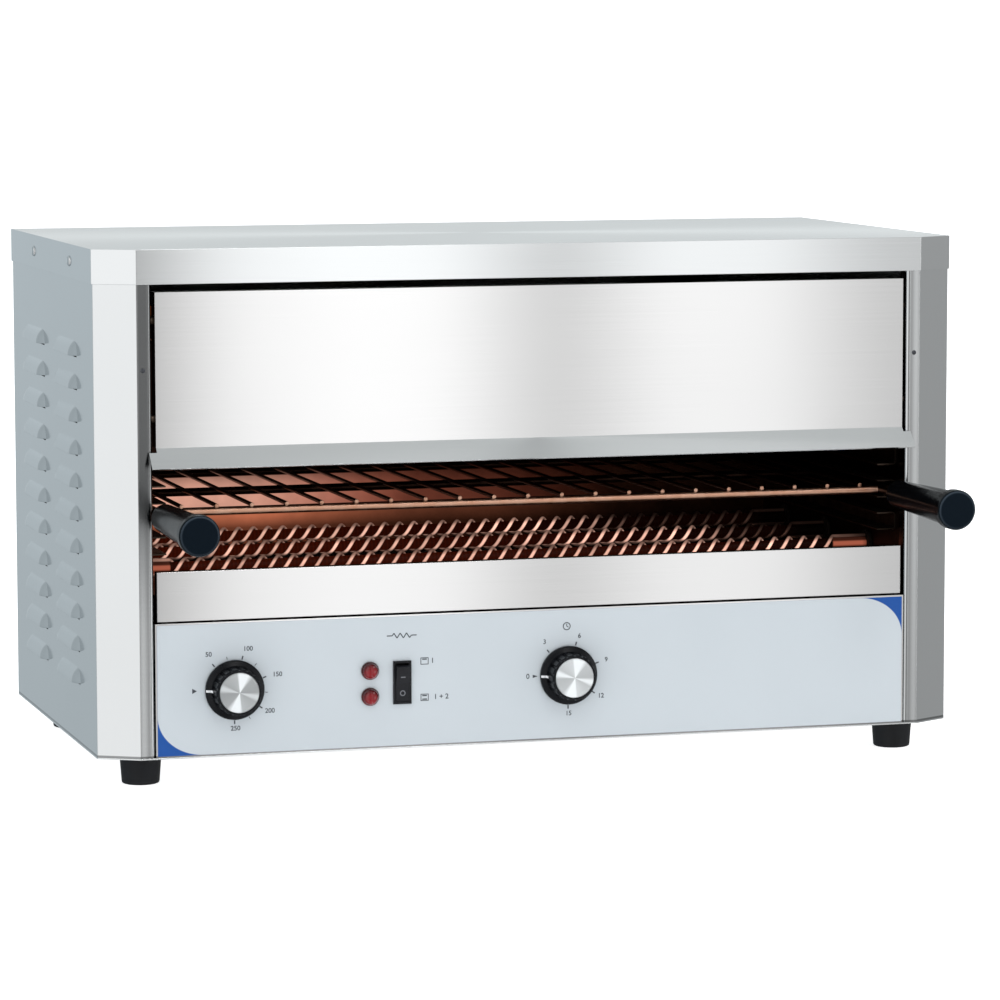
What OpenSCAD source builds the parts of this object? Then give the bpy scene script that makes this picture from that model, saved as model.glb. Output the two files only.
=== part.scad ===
// Salamander grill: a stainless cabinet with a sliding rack between two banks of heating tubes.
// Sizes are in millimetres. The pieces are drawn from the front face of the top cover at y = 0,
// with y growing to the back, x = 0 in the middle and z = 0 on the table.

/* [Cabinet] */
// Width over the top cover
cover_w = 640; // [610:1:720]
// Depth over the top cover
cover_d = 335; // [325:1:400]
// Height from the table to the top of the cover
overall_h = 380; // [370:1:430]
// Thickness of every cabinet sheet
sheet = 1; // [0.8:0.1:1.2]
// Width that the chamfer takes off each front corner
corner_w = 28.8; // [22:0.1:34]
// Depth that the chamfer takes off each front corner
corner_d = 16.1; // [12:0.1:22]
// Height of the cover's skirt
skirt_h = 24.4; // [20:0.1:28]
// Flat width of a front post between its chamfer and the opening
post_w = 10.4; // [9:0.1:13]
// Outer radius of the posts' inner fold
fold_r = 3; // [2.6:0.1:3.5]
// Depth of the posts' inner return
return_d = 11; // [9:0.5:13]
// Width of the side panels' flanges behind the back panel
rear_flange = 18; // [14:1:24]
// Height of the base plate's upturned flanges
base_flange = 12; // [8:1:16]
// Gap between the back panel and the back liner
back_gap = 20; // [15:1:30]
// Gap between the cover and the roof reflector
roof_gap = 39; // [30:1:44]

/* [Feet] */
// Height of a foot
foot_h = 21.3; // [16:0.1:28]
// Diameter of a foot at its top
foot_d = 30; // [26:0.5:34]
// Diameter of a foot at the table
foot_tip_d = 27; // [24:0.5:30]
// Distance of the feet from the sides of the cover
foot_inset_x = 35.4; // [30:0.1:44]
// Distance of the feet from the front and back of the cover
foot_inset_y = 34.7; // [30:0.1:44]
// Thread diameter of the foot screws
foot_screw_d = 5; // [4:0.5:6]

/* [Louvres] */
// Rows of louvres on a side panel
louvre_rows = 11; // [6:1:11]
// Distance between rows
louvre_pitch = 23.5; // [20:0.5:24]
// Length of a louvre
louvre_l = 75; // [50:1:90]
// Height of a louvre
louvre_h = 10.5; // [8:0.5:12]
// Reach of a louvre out of the side panel
louvre_out = 4.8; // [4:0.1:6]
// Lowest louvre lip above the base plate
louvre_rise = 44; // [36:1:52]
// Middle of the front column from the cover's front
louvre_y = 114; // [100:1:120]
// Distance between the two columns
louvre_spacing = 126; // [110:1:140]

/* [Front] */
// Height of the control panel
control_h = 95; // [85:1:105]
// Height of the crumb tray's front
tray_front_h = 35; // [30:0.5:40]
// Height of the mouth between the tray and the hood's fold
mouth_h = 87.7; // [80:0.1:95]
// Reach of the hood's folded lip, forward and down
lip_out = 13.5; // [10:0.1:16]
// Overlap of the lip over each post
lip_over = 3; // [2:0.1:6]
// Gap between the hood panel and the skirt
hood_top_gap = 5.6; // [4:0.1:8]
// Gap between the hood panel or the tray and each post
side_gap = 2.5; // [2:0.1:4]
// Depth of the hood panel's flanges
hood_flange = 12; // [11:0.5:14]

/* [Rack] */
// Height of the rack's rails above the tray's front
rack_rise = 39.1; // [36:0.1:42]
// Diameter of a rail
rail_d = 8; // [7:0.5:9]
// Distance of a rail's axis from the liner
rail_inset = 8.1; // [7:0.1:9]
// Diameter of a cross bar
bar_d = 6; // [5:0.5:7]
// Diameter of a grid wire
wire_d = 3; // [3:0.5:5]
// Distance from a rail to the outermost grid wire
wire_edge = 18.4; // [12:0.1:30]
// Grid wires on each side of the middle wire
wire_count = 10; // [6:1:10]
// Front bar's place behind the cover's front
first_bar_y = 30; // [24:1:40]
// Free length of a wire past its end bar
wire_over = 4; // [3:0.5:8]
// Space between the rack and the back liner
rack_gap = 15; // [12:1:20]
// Inner height of a runner channel
channel_h = 11; // [10:0.5:12]
// Width of a runner channel
runner_w = 14.5; // [11:0.1:16]
// Outer radius of a runner's folds
runner_fold = 2.2; // [1.8:0.1:3]
// Distance between the three runner levels
runner_pitch = 24; // [22:0.5:26]
// Runners' front ends behind the side panels' folds
runner_set = 9; // [2:0.5:20]

/* [Handles] */
// Reach of the handles in front of the cover
handle_reach = 119.7; // [100:0.1:140]
// Gap between a handle's root and the cover's front
handle_root_gap = 5; // [3:0.5:10]
// Radius of a handle at its root
handle_root_r = 10; // [8:0.1:12]
// Radius of a handle behind its bead
handle_waist_r = 12.6; // [11:0.1:14]
// Radius of the bead at a handle's tip
handle_bead_r = 14.3; // [13:0.1:16]
// Length of the bead
handle_bead_l = 9; // [6:0.5:12]
// Depth of a rail in its handle
handle_socket = 40; // [25:1:60]

/* [Tray] */
// Setback of the tray's front from the posts
tray_set = 1.5; // [1:0.1:2.5]
// Depth of the fold round the tray's front
tray_lip = 8; // [6:0.5:10]
// Height of the pan's walls
pan_h = 17; // [12:0.5:18]
// Step from the tray's front to the pan's side wall
pan_step = 1; // [0.5:0.1:3]
// Space between the pan and the back liner
pan_gap = 8; // [5:1:15]

/* [Elements] */
// First tube's place behind the cover's front
first_tube_y = 80; // [70:1:90]
// Distance between tubes
tube_spacing = 90; // [70:1:92]
// Diameter of a heating tube
tube_d = 8; // [7:0.5:9]
// Height of the lower tubes above the tray's bottom
lower_rise = 28.7; // [27:0.1:32]
// Distance of the upper tubes below the roof reflector
upper_drop = 20; // [15:0.5:26]
// Wire diameter of a tube guard
guard_wire_d = 2; // [1.6:0.1:2.4]
// Gap between a tube and its guard
guard_gap = 0.3; // [0.2:0.05:0.5]
// Turns of a guard
guard_turns = 29; // [20:1:29]
// Straight length at each end of a guard's coil
guard_tail = 26; // [20:1:34]
// Diameter of a bush's flange
bush_flange_d = 20; // [18:0.5:22]
// Diameter of a bush's body
bush_d = 13.6; // [12:0.1:15]
// Length of a bush's body behind the liner
bush_l = 10; // [8:0.5:14]
// Thickness of a bush's flange
bush_flange_t = 2; // [1.5:0.1:3]
// Diameter of a terminal pin
pin_d = 4; // [3:0.5:5]
// Length of a terminal pin
pin_l = 14; // [10:1:16]

/* [Controls] */
// Thermostat's place in from the control panel's left end
thermostat_inset = 56.4; // [50:0.1:80]
// Timer's place from the middle
timer_x = 22.3; // [-20:0.1:120]
// Height of the control axes above the base plate
control_rise = 46.6; // [44:0.1:50]
// Pilot lamps' place in from the control panel's left end
lamp_inset = 155; // [130:0.1:158]
// Distance between the pilot lamps
lamp_spacing = 18.6; // [17:0.1:24]
// Diameter of a pilot lamp's lens
lamp_d = 13; // [12:0.1:14]
// Diameter of a pilot lamp's stem
lamp_stem_d = 9.8; // [8:0.1:10]
// Switch's place in from the control panel's left end
switch_inset = 178.6; // [177:0.1:200]
// Width of the switch's bezel
switch_w = 13.3; // [13:0.1:16]
// Height of the switch's bezel
switch_h = 31; // [30:0.1:33]
// Width of the bezel's rim
bezel_rim = 1.5; // [1.4:0.1:1.8]
// Lean of the rocker either way
rocker_lean = 10; // [8:0.5:11]
// Diameter of the rocker's trunnions
trunnion_d = 3; // [2.5:0.1:3.5]
// Diameter of a knob's skirt
knob_d = 42.5; // [38:0.5:46]
// Diameter of a knob's grip at its front
grip_d = 33; // [31:0.5:35]
// Height of a knob
knob_h = 17; // [15:0.5:20]
// Diameter of a knob's cap
cap_d = 28.5; // [26:0.1:29]
// Flutes round a knob's grip
flute_count = 18; // [12:1:24]
// Diameter of a control shaft
shaft_d = 6; // [5:0.5:6.5]
// Diameter of a control's threaded bush
neck_d = 10; // [9:0.5:11]
// Thickness of the printed overlay
overlay_t = 0.4; // [0.3:0.1:0.6]
// Bare margin round the overlay
overlay_margin = 1.2; // [0.8:0.1:2]

/* [Cable entry] */
// Bore of the cable gland
gland_bore_d = 10; // [8:0.5:11]
// Thread diameter of the cable gland
gland_thread_d = 16; // [15:0.5:18]
// Reach of the cable gland behind the back panel
gland_out = 17; // [14:0.5:22]
// Cable gland's place in from the cover's right side
gland_inset = 80; // [60:1:120]
// Height of the cable gland above the base plate
gland_rise = 38; // [34:1:60]

/* [Fits] */
// Radial clearance of a running shaft
run_clear = 0.05; // [0.02:0.01:0.1]
// Radial clearance of a screw or stem in its hole
hole_clear = 0.1; // [0.05:0.05:0.2]
// Gap between a rail and its runner, or the tray and its shelf
slide_clear = 0.3; // [0.2:0.05:0.5]
// Gap between a knob and the overlay
knob_clear = 0.5; // [0.3:0.1:0.8]

/* [Hidden] */
$fn = 48;

// Plan of the cabinet, inset by i from the outside of the cover
corner_l = sqrt(corner_w * corner_w + corner_d * corner_d);
function front_x(i) = cover_w / 2 - corner_w - i * (corner_l - corner_w) / corner_d;
function side_x(i) = cover_w / 2 - i;
function side_y(i) = corner_d + i * (corner_l - corner_d) / corner_w;
function plan(i) = [
    [-front_x(i), i], [front_x(i), i], [side_x(i), side_y(i)],
    [side_x(i), cover_d - i], [-side_x(i), cover_d - i], [-side_x(i), side_y(i)]
];

// Places across the width, for the right-hand side
post_in = front_x(sheet) - post_w;
fold_x = post_in + fold_r;
liner_x = post_in + sheet;
liner_out = liner_x + sheet;
panel_half = post_in - side_gap;
control_gap = 0.5;
control_half = post_in - control_gap;
rail_x = liner_x - rail_inset;
wire_step = (rail_x - wire_edge) / wire_count;
thermostat_x = thermostat_inset - control_half;
lamp_x = lamp_inset - control_half;
switch_x = switch_inset - control_half;
gland_x = cover_w / 2 - gland_inset;

// Places along the depth
face_y = sheet;
panel_back = face_y + sheet;
fold_y = face_y + fold_r;
return_y = face_y + return_d;
inner_front = return_y + sheet;
back_y = cover_d - sheet;
inner_back = back_y - sheet;
liner_back = inner_back - back_gap;
overlay_y = face_y - overlay_t;
front_y = -(back_y + gland_out - handle_reach) / 2;

// Heights
floor_z = foot_h + sheet;
cover_under = overall_h - sheet;
shelf_z = floor_z + control_h;
shelf_top = shelf_z + sheet;
tray_z = shelf_top + slide_clear;
tray_top = tray_z + tray_front_h;
hood_z = tray_top + mouth_h;
hood_top = overall_h - skirt_h - hood_top_gap;
rack_z = tray_top + rack_rise;
roof_z = cover_under - roof_gap;
lower_z = tray_z + lower_rise;
upper_z = roof_z - upper_drop;
control_z = floor_z + control_rise;
shelf_flange = 14;
liner_bottom = shelf_z - shelf_flange;

// Helpers

// Moves what is drawn from the cover's front so that the origin lies under the object's middle
module placed() {
    translate([0, front_y, 0]) children();
}

module mirrored() {
    mirror([1, 0, 0]) children();
}

module both_sides() {
    children();
    mirrored() children();
}

module block(low, high) {
    translate(low) cube(high - low);
}

module rod_x(x0, x1, r) {
    translate([x0, 0, 0]) rotate([0, 90, 0]) cylinder(h = x1 - x0, r = r);
}

module rod_y(y0, y1, r) {
    translate([0, y0, 0]) rotate([-90, 0, 0]) cylinder(h = y1 - y0, r = r);
}

module hex_y(y0, y1, across) {
    translate([0, y0, 0]) rotate([-90, 0, 0])
        cylinder(h = y1 - y0, r = across / sqrt(3), $fn = 6);
}

// Extrudes a plan upwards
module upright(z0, z1) {
    translate([0, 0, z0]) linear_extrude(z1 - z0) children();
}

// Extrudes a front elevation along the depth
module along_y(y0, y1) {
    translate([0, y1, 0]) rotate([90, 0, 0]) linear_extrude(y1 - y0) children();
}

// Extrudes a side elevation along the width
module along_x(x0, x1) {
    translate([x0, 0, 0]) rotate([90, 0, 90]) linear_extrude(x1 - x0) children();
}

// Turns a profile about an axis that points to the front
module turned_front(profile) {
    rotate([90, 0, 0]) rotate_extrude() polygon(profile);
}

// Quarter ring of folded sheet, from -x round to -y
module fold(r) {
    intersection() {
        difference() {
            circle(r);
            circle(r - sheet);
        }
        translate([-r, -r]) square(r);
    }
}

// Rounded screw with its head's seat at z = 0 and its head upwards
module screw(head_r, head_h, shank_r, shank_l) {
    rotate_extrude() polygon([
        [0, -shank_l], [shank_r, -shank_l], [shank_r, 0], [head_r, 0],
        [head_r * 0.92, head_h * 0.5], [head_r * 0.62, head_h * 0.9], [0, head_h]
    ]);
}

// Slot with round ends in a panel that faces the back
module vent_slot(slot_l, slot_h) {
    along_y(inner_back - sheet, back_y + sheet) {
        translate([-slot_l / 2, -slot_h / 2]) square([slot_l, slot_h]);
        for (side = [-1, 1]) translate([side * slot_l / 2, 0]) circle(slot_h / 2);
    }
}

// Fasteners and their holes

cover_screw_y = 97;
cover_screw_z = overall_h - skirt_h / 2;
cover_screw_r = 2;
cover_head_r = 4;
cover_head_h = 1.6;
cover_screw_l = 8;

module at_cover_screws() {
    both_sides()
        for (y = [cover_screw_y, cover_d - cover_screw_y])
            translate([cover_w / 2, y, cover_screw_z]) rotate([0, 90, 0]) children();
}

back_screw_count = 3;
back_screw_r = 2;
back_head_r = 4;
back_head_h = 2;
back_screw_l = 8;
back_screw_end = 40;
back_screw_x = side_x(2 * sheet) - rear_flange / 2;
back_screw_step = (cover_under - skirt_h - floor_z - 2 * back_screw_end) / (back_screw_count - 1);

module at_back_screws() {
    both_sides()
        for (n = [0 : back_screw_count - 1])
            translate([back_screw_x, back_y, floor_z + back_screw_end + n * back_screw_step])
                rotate([-90, 0, 0]) children();
}

hood_screw_r = 2;
hood_head_r = 3.5;
hood_head_h = 2;
hood_collar_r = 3.2;
hood_screw_end = 20;
hood_screw_y = (fold_y + return_y) / 2;

module at_hood_screws() {
    both_sides()
        for (z = [hood_z + hood_screw_end, hood_top - hood_screw_end])
            translate([panel_half - sheet, hood_screw_y, z]) rotate([0, -90, 0]) children();
}

rivet_r = 1;
rivet_head_r = 1.7;
rivet_head_h = 0.7;
rivet_z = (hood_z + hood_top) / 2;
rivet_x = fold_x + 2 * rivet_head_r;

module at_rivets() {
    both_sides() translate([rivet_x, face_y, rivet_z]) rotate([90, 0, 0]) children();
}

foot_x = cover_w / 2 - foot_inset_x;
foot_back_y = cover_d - foot_inset_y;

module at_feet() {
    both_sides()
        for (y = [foot_inset_y, foot_back_y])
            translate([foot_x, y, 0]) children();
}

module through_hole(r) {
    cylinder(h = 8 * sheet, r = r + hole_clear, center = true);
}

// Cabinet

module top_cover() {
    color("gainsboro") placed() difference() {
        upright(overall_h - skirt_h, overall_h) polygon(plan(0));
        upright(overall_h - skirt_h - sheet, cover_under) polygon(plan(sheet));
        at_cover_screws() through_hole(cover_screw_r);
    }
}

module side_section() {
    intersection() {
        difference() {
            polygon(plan(sheet));
            polygon(plan(2 * sheet));
        }
        translate([fold_x, 0]) square([cover_w, inner_back]);
    }
    translate([fold_x, fold_y]) fold(fold_r);
    translate([post_in, fold_y]) square([sheet, return_y - fold_y]);
    translate([side_x(sheet) - rear_flange, inner_back - sheet]) square([rear_flange, sheet]);
}

// Cylinder with round ends, lying along the depth
module capsule(r, half) {
    rotate([90, 0, 0]) rotate_extrude() intersection() {
        union() {
            translate([0, -half]) square([r, 2 * half]);
            for (side = [-1, 1]) translate([0, side * half]) circle(r);
        }
        translate([0, -half - r]) square([r, 2 * (half + r)]);
    }
}

// Pressed hood of a louvre, open downwards: the outer slice of a capsule sunk behind the panel
module louvre(inset, root, drop) {
    arc_r = (louvre_out * louvre_out + louvre_h * louvre_h) / (2 * louvre_out);
    intersection() {
        translate([louvre_out - arc_r, 0, 0]) capsule(arc_r - inset, louvre_l / 2 - louvre_h);
        block([-root, -louvre_l, -drop], [louvre_out, louvre_l, louvre_h]);
    }
}

module at_louvres() {
    for (row = [0 : louvre_rows - 1], column = [0, 1])
        translate([
            side_x(sheet), louvre_y + column * louvre_spacing,
            floor_z + louvre_rise + row * louvre_pitch
        ]) children();
}

module side_panel() {
    difference() {
        union() {
            upright(floor_z, cover_under) side_section();
            at_louvres() louvre(0, sheet / 2, 0);
        }
        at_louvres() louvre(sheet, 2 * sheet, sheet);
        at_cover_screws() through_hole(cover_screw_r);
        at_back_screws() through_hole(back_screw_r);
        at_hood_screws() translate([0, 0, -2 * sheet - side_gap]) through_hole(hood_screw_r);
        at_rivets() through_hole(rivet_r);
    }
}

module right_side_panel() {
    color("lightsteelblue") placed() side_panel();
}

module left_side_panel() {
    color("lightsteelblue") placed() mirrored() side_panel();
}

vent_l = 60;
vent_h = 5;
vent_pitch = 14;
vent_rows = 4;
vent_columns = 4;
vent_step = 100;

module back_panel() {
    color("silver") placed() difference() {
        block([-side_x(sheet), inner_back, floor_z], [side_x(sheet), back_y, cover_under]);
        for (row = [0 : vent_rows - 1], column = [0 : vent_columns - 1])
            for (z = [control_z, upper_z - vent_rows * vent_pitch])
                translate([(column - (vent_columns - 1) / 2) * vent_step, 0, z + row * vent_pitch])
                    vent_slot(vent_l, vent_h);
        at_back_screws() through_hole(back_screw_r);
        translate([gland_x, 0, gland_z])
            rod_y(inner_back - sheet, back_y + sheet, gland_thread_d / 2 + hole_clear);
    }
}

base_slot_l = 60;
base_slot_w = 5;
base_slot_pitch = 14;
base_slot_rows = 5;
base_slot_step = 110;
base_flange_end = 50;

module base_plate() {
    flange_top = floor_z + base_flange;
    flange_x = side_x(2 * sheet);
    middle_y = cover_d / 2;
    color("silver") placed() difference() {
        union() {
            upright(foot_h, floor_z) polygon(plan(sheet));
            block([-liner_x + base_flange_end, panel_back, foot_h],
                [liner_x - base_flange_end, panel_back + sheet, flange_top]);
            block([-liner_x + base_flange_end, inner_back - sheet, foot_h],
                [liner_x - base_flange_end, inner_back, flange_top]);
            both_sides()
                block([flange_x - sheet, base_flange_end, foot_h],
                    [flange_x, cover_d - base_flange_end, flange_top]);
        }
        at_feet() translate([0, 0, foot_h]) through_hole(foot_screw_d / 2);
        for (row = [0 : base_slot_rows - 1], column = [-1 : 1])
            translate([
                column * base_slot_step,
                middle_y + (row - (base_slot_rows - 1) / 2) * base_slot_pitch,
                foot_h
            ])
                linear_extrude(4 * sheet, center = true) {
                    square([base_slot_l, base_slot_w], center = true);
                    for (side = [-1, 1]) translate([side * base_slot_l / 2, 0]) circle(base_slot_w / 2);
                }
    }
}

// Side elevation of the hood panel: upright face, then the lip folded forward at 45 degrees
module hood_section(from_top) {
    bend = sheet * (sqrt(2) - 1);
    step = sheet / sqrt(2);
    tip_y = face_y - lip_out;
    tip_z = hood_z - lip_out;
    polygon([
        [face_y, from_top], [face_y, hood_z], [tip_y, tip_z], [tip_y + step, tip_z - step],
        [panel_back, hood_z - bend], [panel_back, from_top]
    ]);
}

lip_notch = 3;

module hood_panel() {
    flange_y = panel_back + hood_flange;
    color("gainsboro") placed() difference() {
        union() {
            along_x(-panel_half, panel_half) hood_section(hood_top);
            intersection() {
                along_x(-post_in - lip_over, post_in + lip_over) hood_section(hood_top);
                block([-cover_w, -cover_d, 0], [cover_w, face_y - slide_clear - sheet, hood_z - lip_notch]);
            }
            block([-panel_half, face_y, hood_top - sheet], [panel_half, flange_y + 2 * sheet, hood_top]);
            both_sides()
                block([panel_half - sheet, face_y, hood_z], [panel_half, flange_y, hood_top]);
        }
        at_hood_screws() through_hole(hood_screw_r);
    }
}

control_flange = 24;
control_side_flange = 8;

// Shapes that pass through the control panel and its overlay
module control_holes() {
    for (x = [thermostat_x, timer_x])
        translate([x, 0, control_z]) rod_y(-neck_d, neck_d, neck_d / 2 + hole_clear);
    for (side = [-1, 1])
        translate([lamp_x, 0, control_z + side * lamp_spacing / 2])
            rod_y(-neck_d, neck_d, lamp_stem_d / 2 + hole_clear);
    translate([switch_x, 0, control_z])
        block([-switch_body_w / 2 - hole_clear, -neck_d, -switch_body_h / 2 - hole_clear],
            [switch_body_w / 2 + hole_clear, neck_d, switch_body_h / 2 + hole_clear]);
}

module control_panel() {
    color("silver") placed() difference() {
        union() {
            block([-control_half, face_y, floor_z], [control_half, panel_back, shelf_z]);
            block([-control_half, face_y, shelf_z - sheet],
                [control_half, panel_back + control_flange, shelf_z]);
            both_sides()
                block([control_half - sheet, face_y, floor_z],
                    [control_half, panel_back + control_side_flange, shelf_z]);
        }
        control_holes();
    }
}

module control_overlay() {
    color("lightsteelblue") placed() difference() {
        block([-control_half + overlay_margin, overlay_y, floor_z + overlay_margin],
            [control_half - overlay_margin, face_y, shelf_z - overlay_margin]);
        control_holes();
    }
}

// Inner lining

liner_flange = 6;

module at_bushes() {
    for (z = [lower_z, upper_z], n = [0 : 2])
        translate([0, first_tube_y + n * tube_spacing, z]) children();
}

module liner() {
    difference() {
        upright(liner_bottom, roof_z) {
            translate([fold_x, fold_y]) fold(fold_r - sheet);
            translate([fold_x, panel_back]) square([liner_flange, sheet]);
            translate([liner_x, fold_y]) square([sheet, liner_back + sheet - fold_y]);
        }
        at_bushes() rod_x(liner_x - sheet, liner_out + sheet, bush_d / 2 + hole_clear);
        at_rivets() through_hole(rivet_r);
    }
}

module right_liner() {
    color("dimgray") placed() liner();
}

module left_liner() {
    color("dimgray") placed() mirrored() liner();
}

module back_liner() {
    color("dimgray") placed() difference() {
        block([-liner_x, liner_back, shelf_top], [liner_x, liner_back + sheet, roof_z]);
        translate([capillary_x, 0, bulb_z])
            rod_y(liner_back - sheet, liner_back + 2 * sheet, capillary_r + hole_clear);
    }
}

module roof_reflector() {
    color("gray") placed() {
        block([-liner_out, inner_front, roof_z], [liner_out, liner_back + sheet, roof_z + sheet]);
        block([-panel_half + 2 * sheet, inner_front, roof_z],
            [panel_half - 2 * sheet, inner_front + sheet, hood_top - sheet]);
    }
}

module shelf_plate() {
    color("gray") placed() {
        block([-liner_x, inner_front, shelf_z], [liner_x, liner_back + sheet, shelf_top]);
        both_sides()
            block([liner_x - sheet, panel_back + control_flange + sheet, liner_bottom],
                [liner_x, liner_back, shelf_top]);
    }
}

// Runners

runner_h = channel_h + 2 * sheet;
runner_z = rack_z - rail_d / 2 - slide_clear - sheet;
runner_back = liner_back - pan_gap;

// Front elevation of a channel that opens to the middle of the grill
module runner_section() {
    translate([liner_x - sheet, runner_fold]) square([sheet, runner_h - 2 * runner_fold]);
    for (top = [0, 1])
        translate([0, top * runner_h]) mirror([0, top]) {
            translate([liner_x - runner_w, 0]) square([runner_w - runner_fold, sheet]);
            translate([liner_x - runner_fold, runner_fold]) mirror([1, 0]) fold(runner_fold);
        }
}

module runners() {
    for (level = [-1 : 1])
        translate([0, 0, runner_z + level * runner_pitch])
            along_y(inner_front + runner_set, runner_back) runner_section();
}

module right_runners() {
    color("silver") placed() runners();
}

module left_runners() {
    color("silver") placed() mirrored() runners();
}

// Heating elements

bush_face = liner_x - bush_flange_t;
tube_half = liner_x + bush_l - sheet;
guard_r = tube_d / 2 + guard_gap + guard_wire_d / 2;
guard_half = bush_face - guard_tail;
guard_pitch = 2 * guard_half / guard_turns;
guard_ease = guard_pitch / 2;
guard_rings = 8;
guard_sides = 6;

function tube_y(n) = first_tube_y + (n - 1) * tube_spacing;

module tube(n, z) {
    color("peru") placed() translate([0, tube_y(n), z]) rod_x(-tube_half, tube_half, tube_d / 2);
}

// Angle of the guard's wire at x: a steady helix that eases into a straight tail at each end
function eased(u) = u - u * u / 2;
function guard_run(a) =
    a < guard_half ? a : guard_half + guard_ease * eased(min(1, (a - guard_half) / guard_ease));
function guard_angle(x) = -360 * sign(x) * guard_run(abs(x)) / guard_pitch;
function guard_rate(x) =
    -2 * PI / guard_pitch * (1 - max(0, min(1, (abs(x) - guard_half) / guard_ease)));

ease_rings = guard_rings / 2;
guard_end_xs = concat(
    [for (k = [1 : ease_rings]) guard_half + guard_ease * k / ease_rings],
    [bush_face]
);
guard_xs = concat(
    [for (k = [len(guard_end_xs) - 1 : -1 : 0]) -guard_end_xs[k]],
    [for (k = [0 : guard_turns * guard_rings]) -guard_half + k * guard_pitch / guard_rings],
    guard_end_xs
);

function radial(x) = [0, cos(guard_angle(x)), sin(guard_angle(x))];
function guard_point(x) = [x, 0, 0] + guard_r * radial(x);
function guard_along(x) =
    let (lean = guard_r * guard_rate(x), t = [1, -lean * sin(guard_angle(x)), lean * cos(guard_angle(x))])
    t / norm(t);
function guard_ring(x) =
    [for (side = [0 : guard_sides - 1])
        let (a = 360 * side / guard_sides)
        guard_point(x) + guard_wire_d / 2
            * (cos(a) * radial(x) + sin(a) * cross(guard_along(x), radial(x)))];

// Least gap between stretches of the wire that lie half a turn or more apart
guard_path = [for (x = guard_xs) guard_point(x)];
guard_self_gap = min([
    for (i = [0 : len(guard_path) - 1], j = [i + guard_rings / 2 : len(guard_path) - 1])
        norm(guard_path[i] - guard_path[j])
]) - guard_wire_d;
echo(guard_self_gap = guard_self_gap);

module guard(n) {
    rings = len(guard_xs);
    points = [for (x = guard_xs) each guard_ring(x)];
    walls = [
        for (k = [0 : rings - 2], s = [0 : guard_sides - 1])
            let (
                a = k * guard_sides + s,
                b = k * guard_sides + (s + 1) % guard_sides
            )
            each [[a, b, a + guard_sides], [b, b + guard_sides, a + guard_sides]]
    ];
    first = [for (s = [1 : guard_sides - 2]) [0, s + 1, s]];
    base = (rings - 1) * guard_sides;
    last = [for (s = [1 : guard_sides - 2]) [base, base + s, base + s + 1]];
    color("burlywood") placed() translate([0, tube_y(n), lower_z])
        polyhedron(points, concat(walls, first, last));
}

module bush() {
    difference() {
        union() {
            rod_x(bush_face, liner_x, bush_flange_d / 2);
            rod_x(bush_face, liner_x + bush_l, bush_d / 2);
        }
        rod_x(bush_face - sheet, liner_x + bush_l + sheet, tube_d / 2 + hole_clear);
    }
}

module element_bushes() {
    color("linen") placed() at_bushes() both_sides() bush();
}

module terminal_pins() {
    color("goldenrod") placed() at_bushes() both_sides() {
        rod_x(tube_half, tube_half + pin_l, pin_d / 2);
        rod_x(liner_x + bush_l + sheet, liner_x + bush_l + 2 * sheet, pin_d);
    }
}

// Thermostat, timer and knobs

neck_out = 3;
neck_nut_t = 2;
neck_nut_across = 14;
thermostat_box = [40, 26, 36];
timer_r = 25;
timer_t = 34;
plate_t = 1.5;
plate_w = 50;
plate_h = 34;
blade_w = 6.3;
blade_t = 0.8;
blade_l = 9;
shaft_in = 12;
shaft_end = panel_back + shaft_in;
recess_r = 10.5;
recess_h = 5.5;
socket_top = 13;
cap_t = 1.3;
cap_edge = 0.3;
cap_round = 0.6;
cap_crown = 0.5;
grip_flare = 1;
grip_root_r = grip_d / 2 + grip_flare;
skirt_t = 2.2;

// Plate, threaded neck and shaft bore that both controls share
module control_neck() {
    difference() {
        union() {
            block([-plate_w / 2, panel_back, -plate_h / 2],
                [plate_w / 2, panel_back + plate_t, plate_h / 2]);
            rod_y(overlay_y - neck_out, panel_back + plate_t, neck_d / 2);
            children();
        }
        rod_y(overlay_y - neck_out - sheet, shaft_end + run_clear, shaft_d / 2 + run_clear);
    }
}

module blades(y) {
    for (side = [-1, 1])
        block([side * blade_w - blade_w / 2, y, -blade_t / 2],
            [side * blade_w + blade_w / 2, y + blade_l, blade_t / 2]);
}

module thermostat_body() {
    body_y = panel_back + plate_t;
    color("ivory") placed() translate([thermostat_x, 0, control_z]) control_neck() {
        translate([-thermostat_box.x / 2, panel_back, -thermostat_box.z / 2])
            cube([thermostat_box.x, plate_t + thermostat_box.y, thermostat_box.z]);
        blades(body_y + thermostat_box.y - sheet);
    }
}

module timer_body() {
    color("gainsboro") placed() translate([timer_x, 0, control_z]) control_neck() {
        rod_y(panel_back, panel_back + plate_t + timer_t, timer_r);
        blades(panel_back + plate_t + timer_t - sheet);
    }
}

module control_nuts() {
    color("silver") placed()
        for (x = [thermostat_x, timer_x])
            translate([x, 0, control_z]) difference() {
                hex_y(overlay_y - neck_nut_t, overlay_y, neck_nut_across);
                rod_y(overlay_y - neck_out, overlay_y + sheet, neck_d / 2 + hole_clear);
            }
}

bulb_r = 3;
bulb_l = 110;
bulb_drop = 45;
bulb_z = roof_z - bulb_drop;
bulb_stand = 6;
bulb_y = liner_back - bulb_stand;
capillary_r = 1;
capillary_x = thermostat_x - thermostat_box.x / 4;
capillary_y = liner_back + sheet + back_gap / 2;
capillary_z = control_z + thermostat_box.z / 4;
thermostat_back = panel_back + plate_t + thermostat_box.y;

// Runs of thin tube between corner points, rounded at each corner
module bent_tube(points, r) {
    for (k = [0 : len(points) - 2]) {
        run = points[k + 1] - points[k];
        translate(points[k])
            rotate([0, acos(run.z / norm(run)), atan2(run.y, run.x)]) cylinder(h = norm(run), r = r);
        if (k > 0) translate(points[k]) sphere(r);
    }
}

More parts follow.
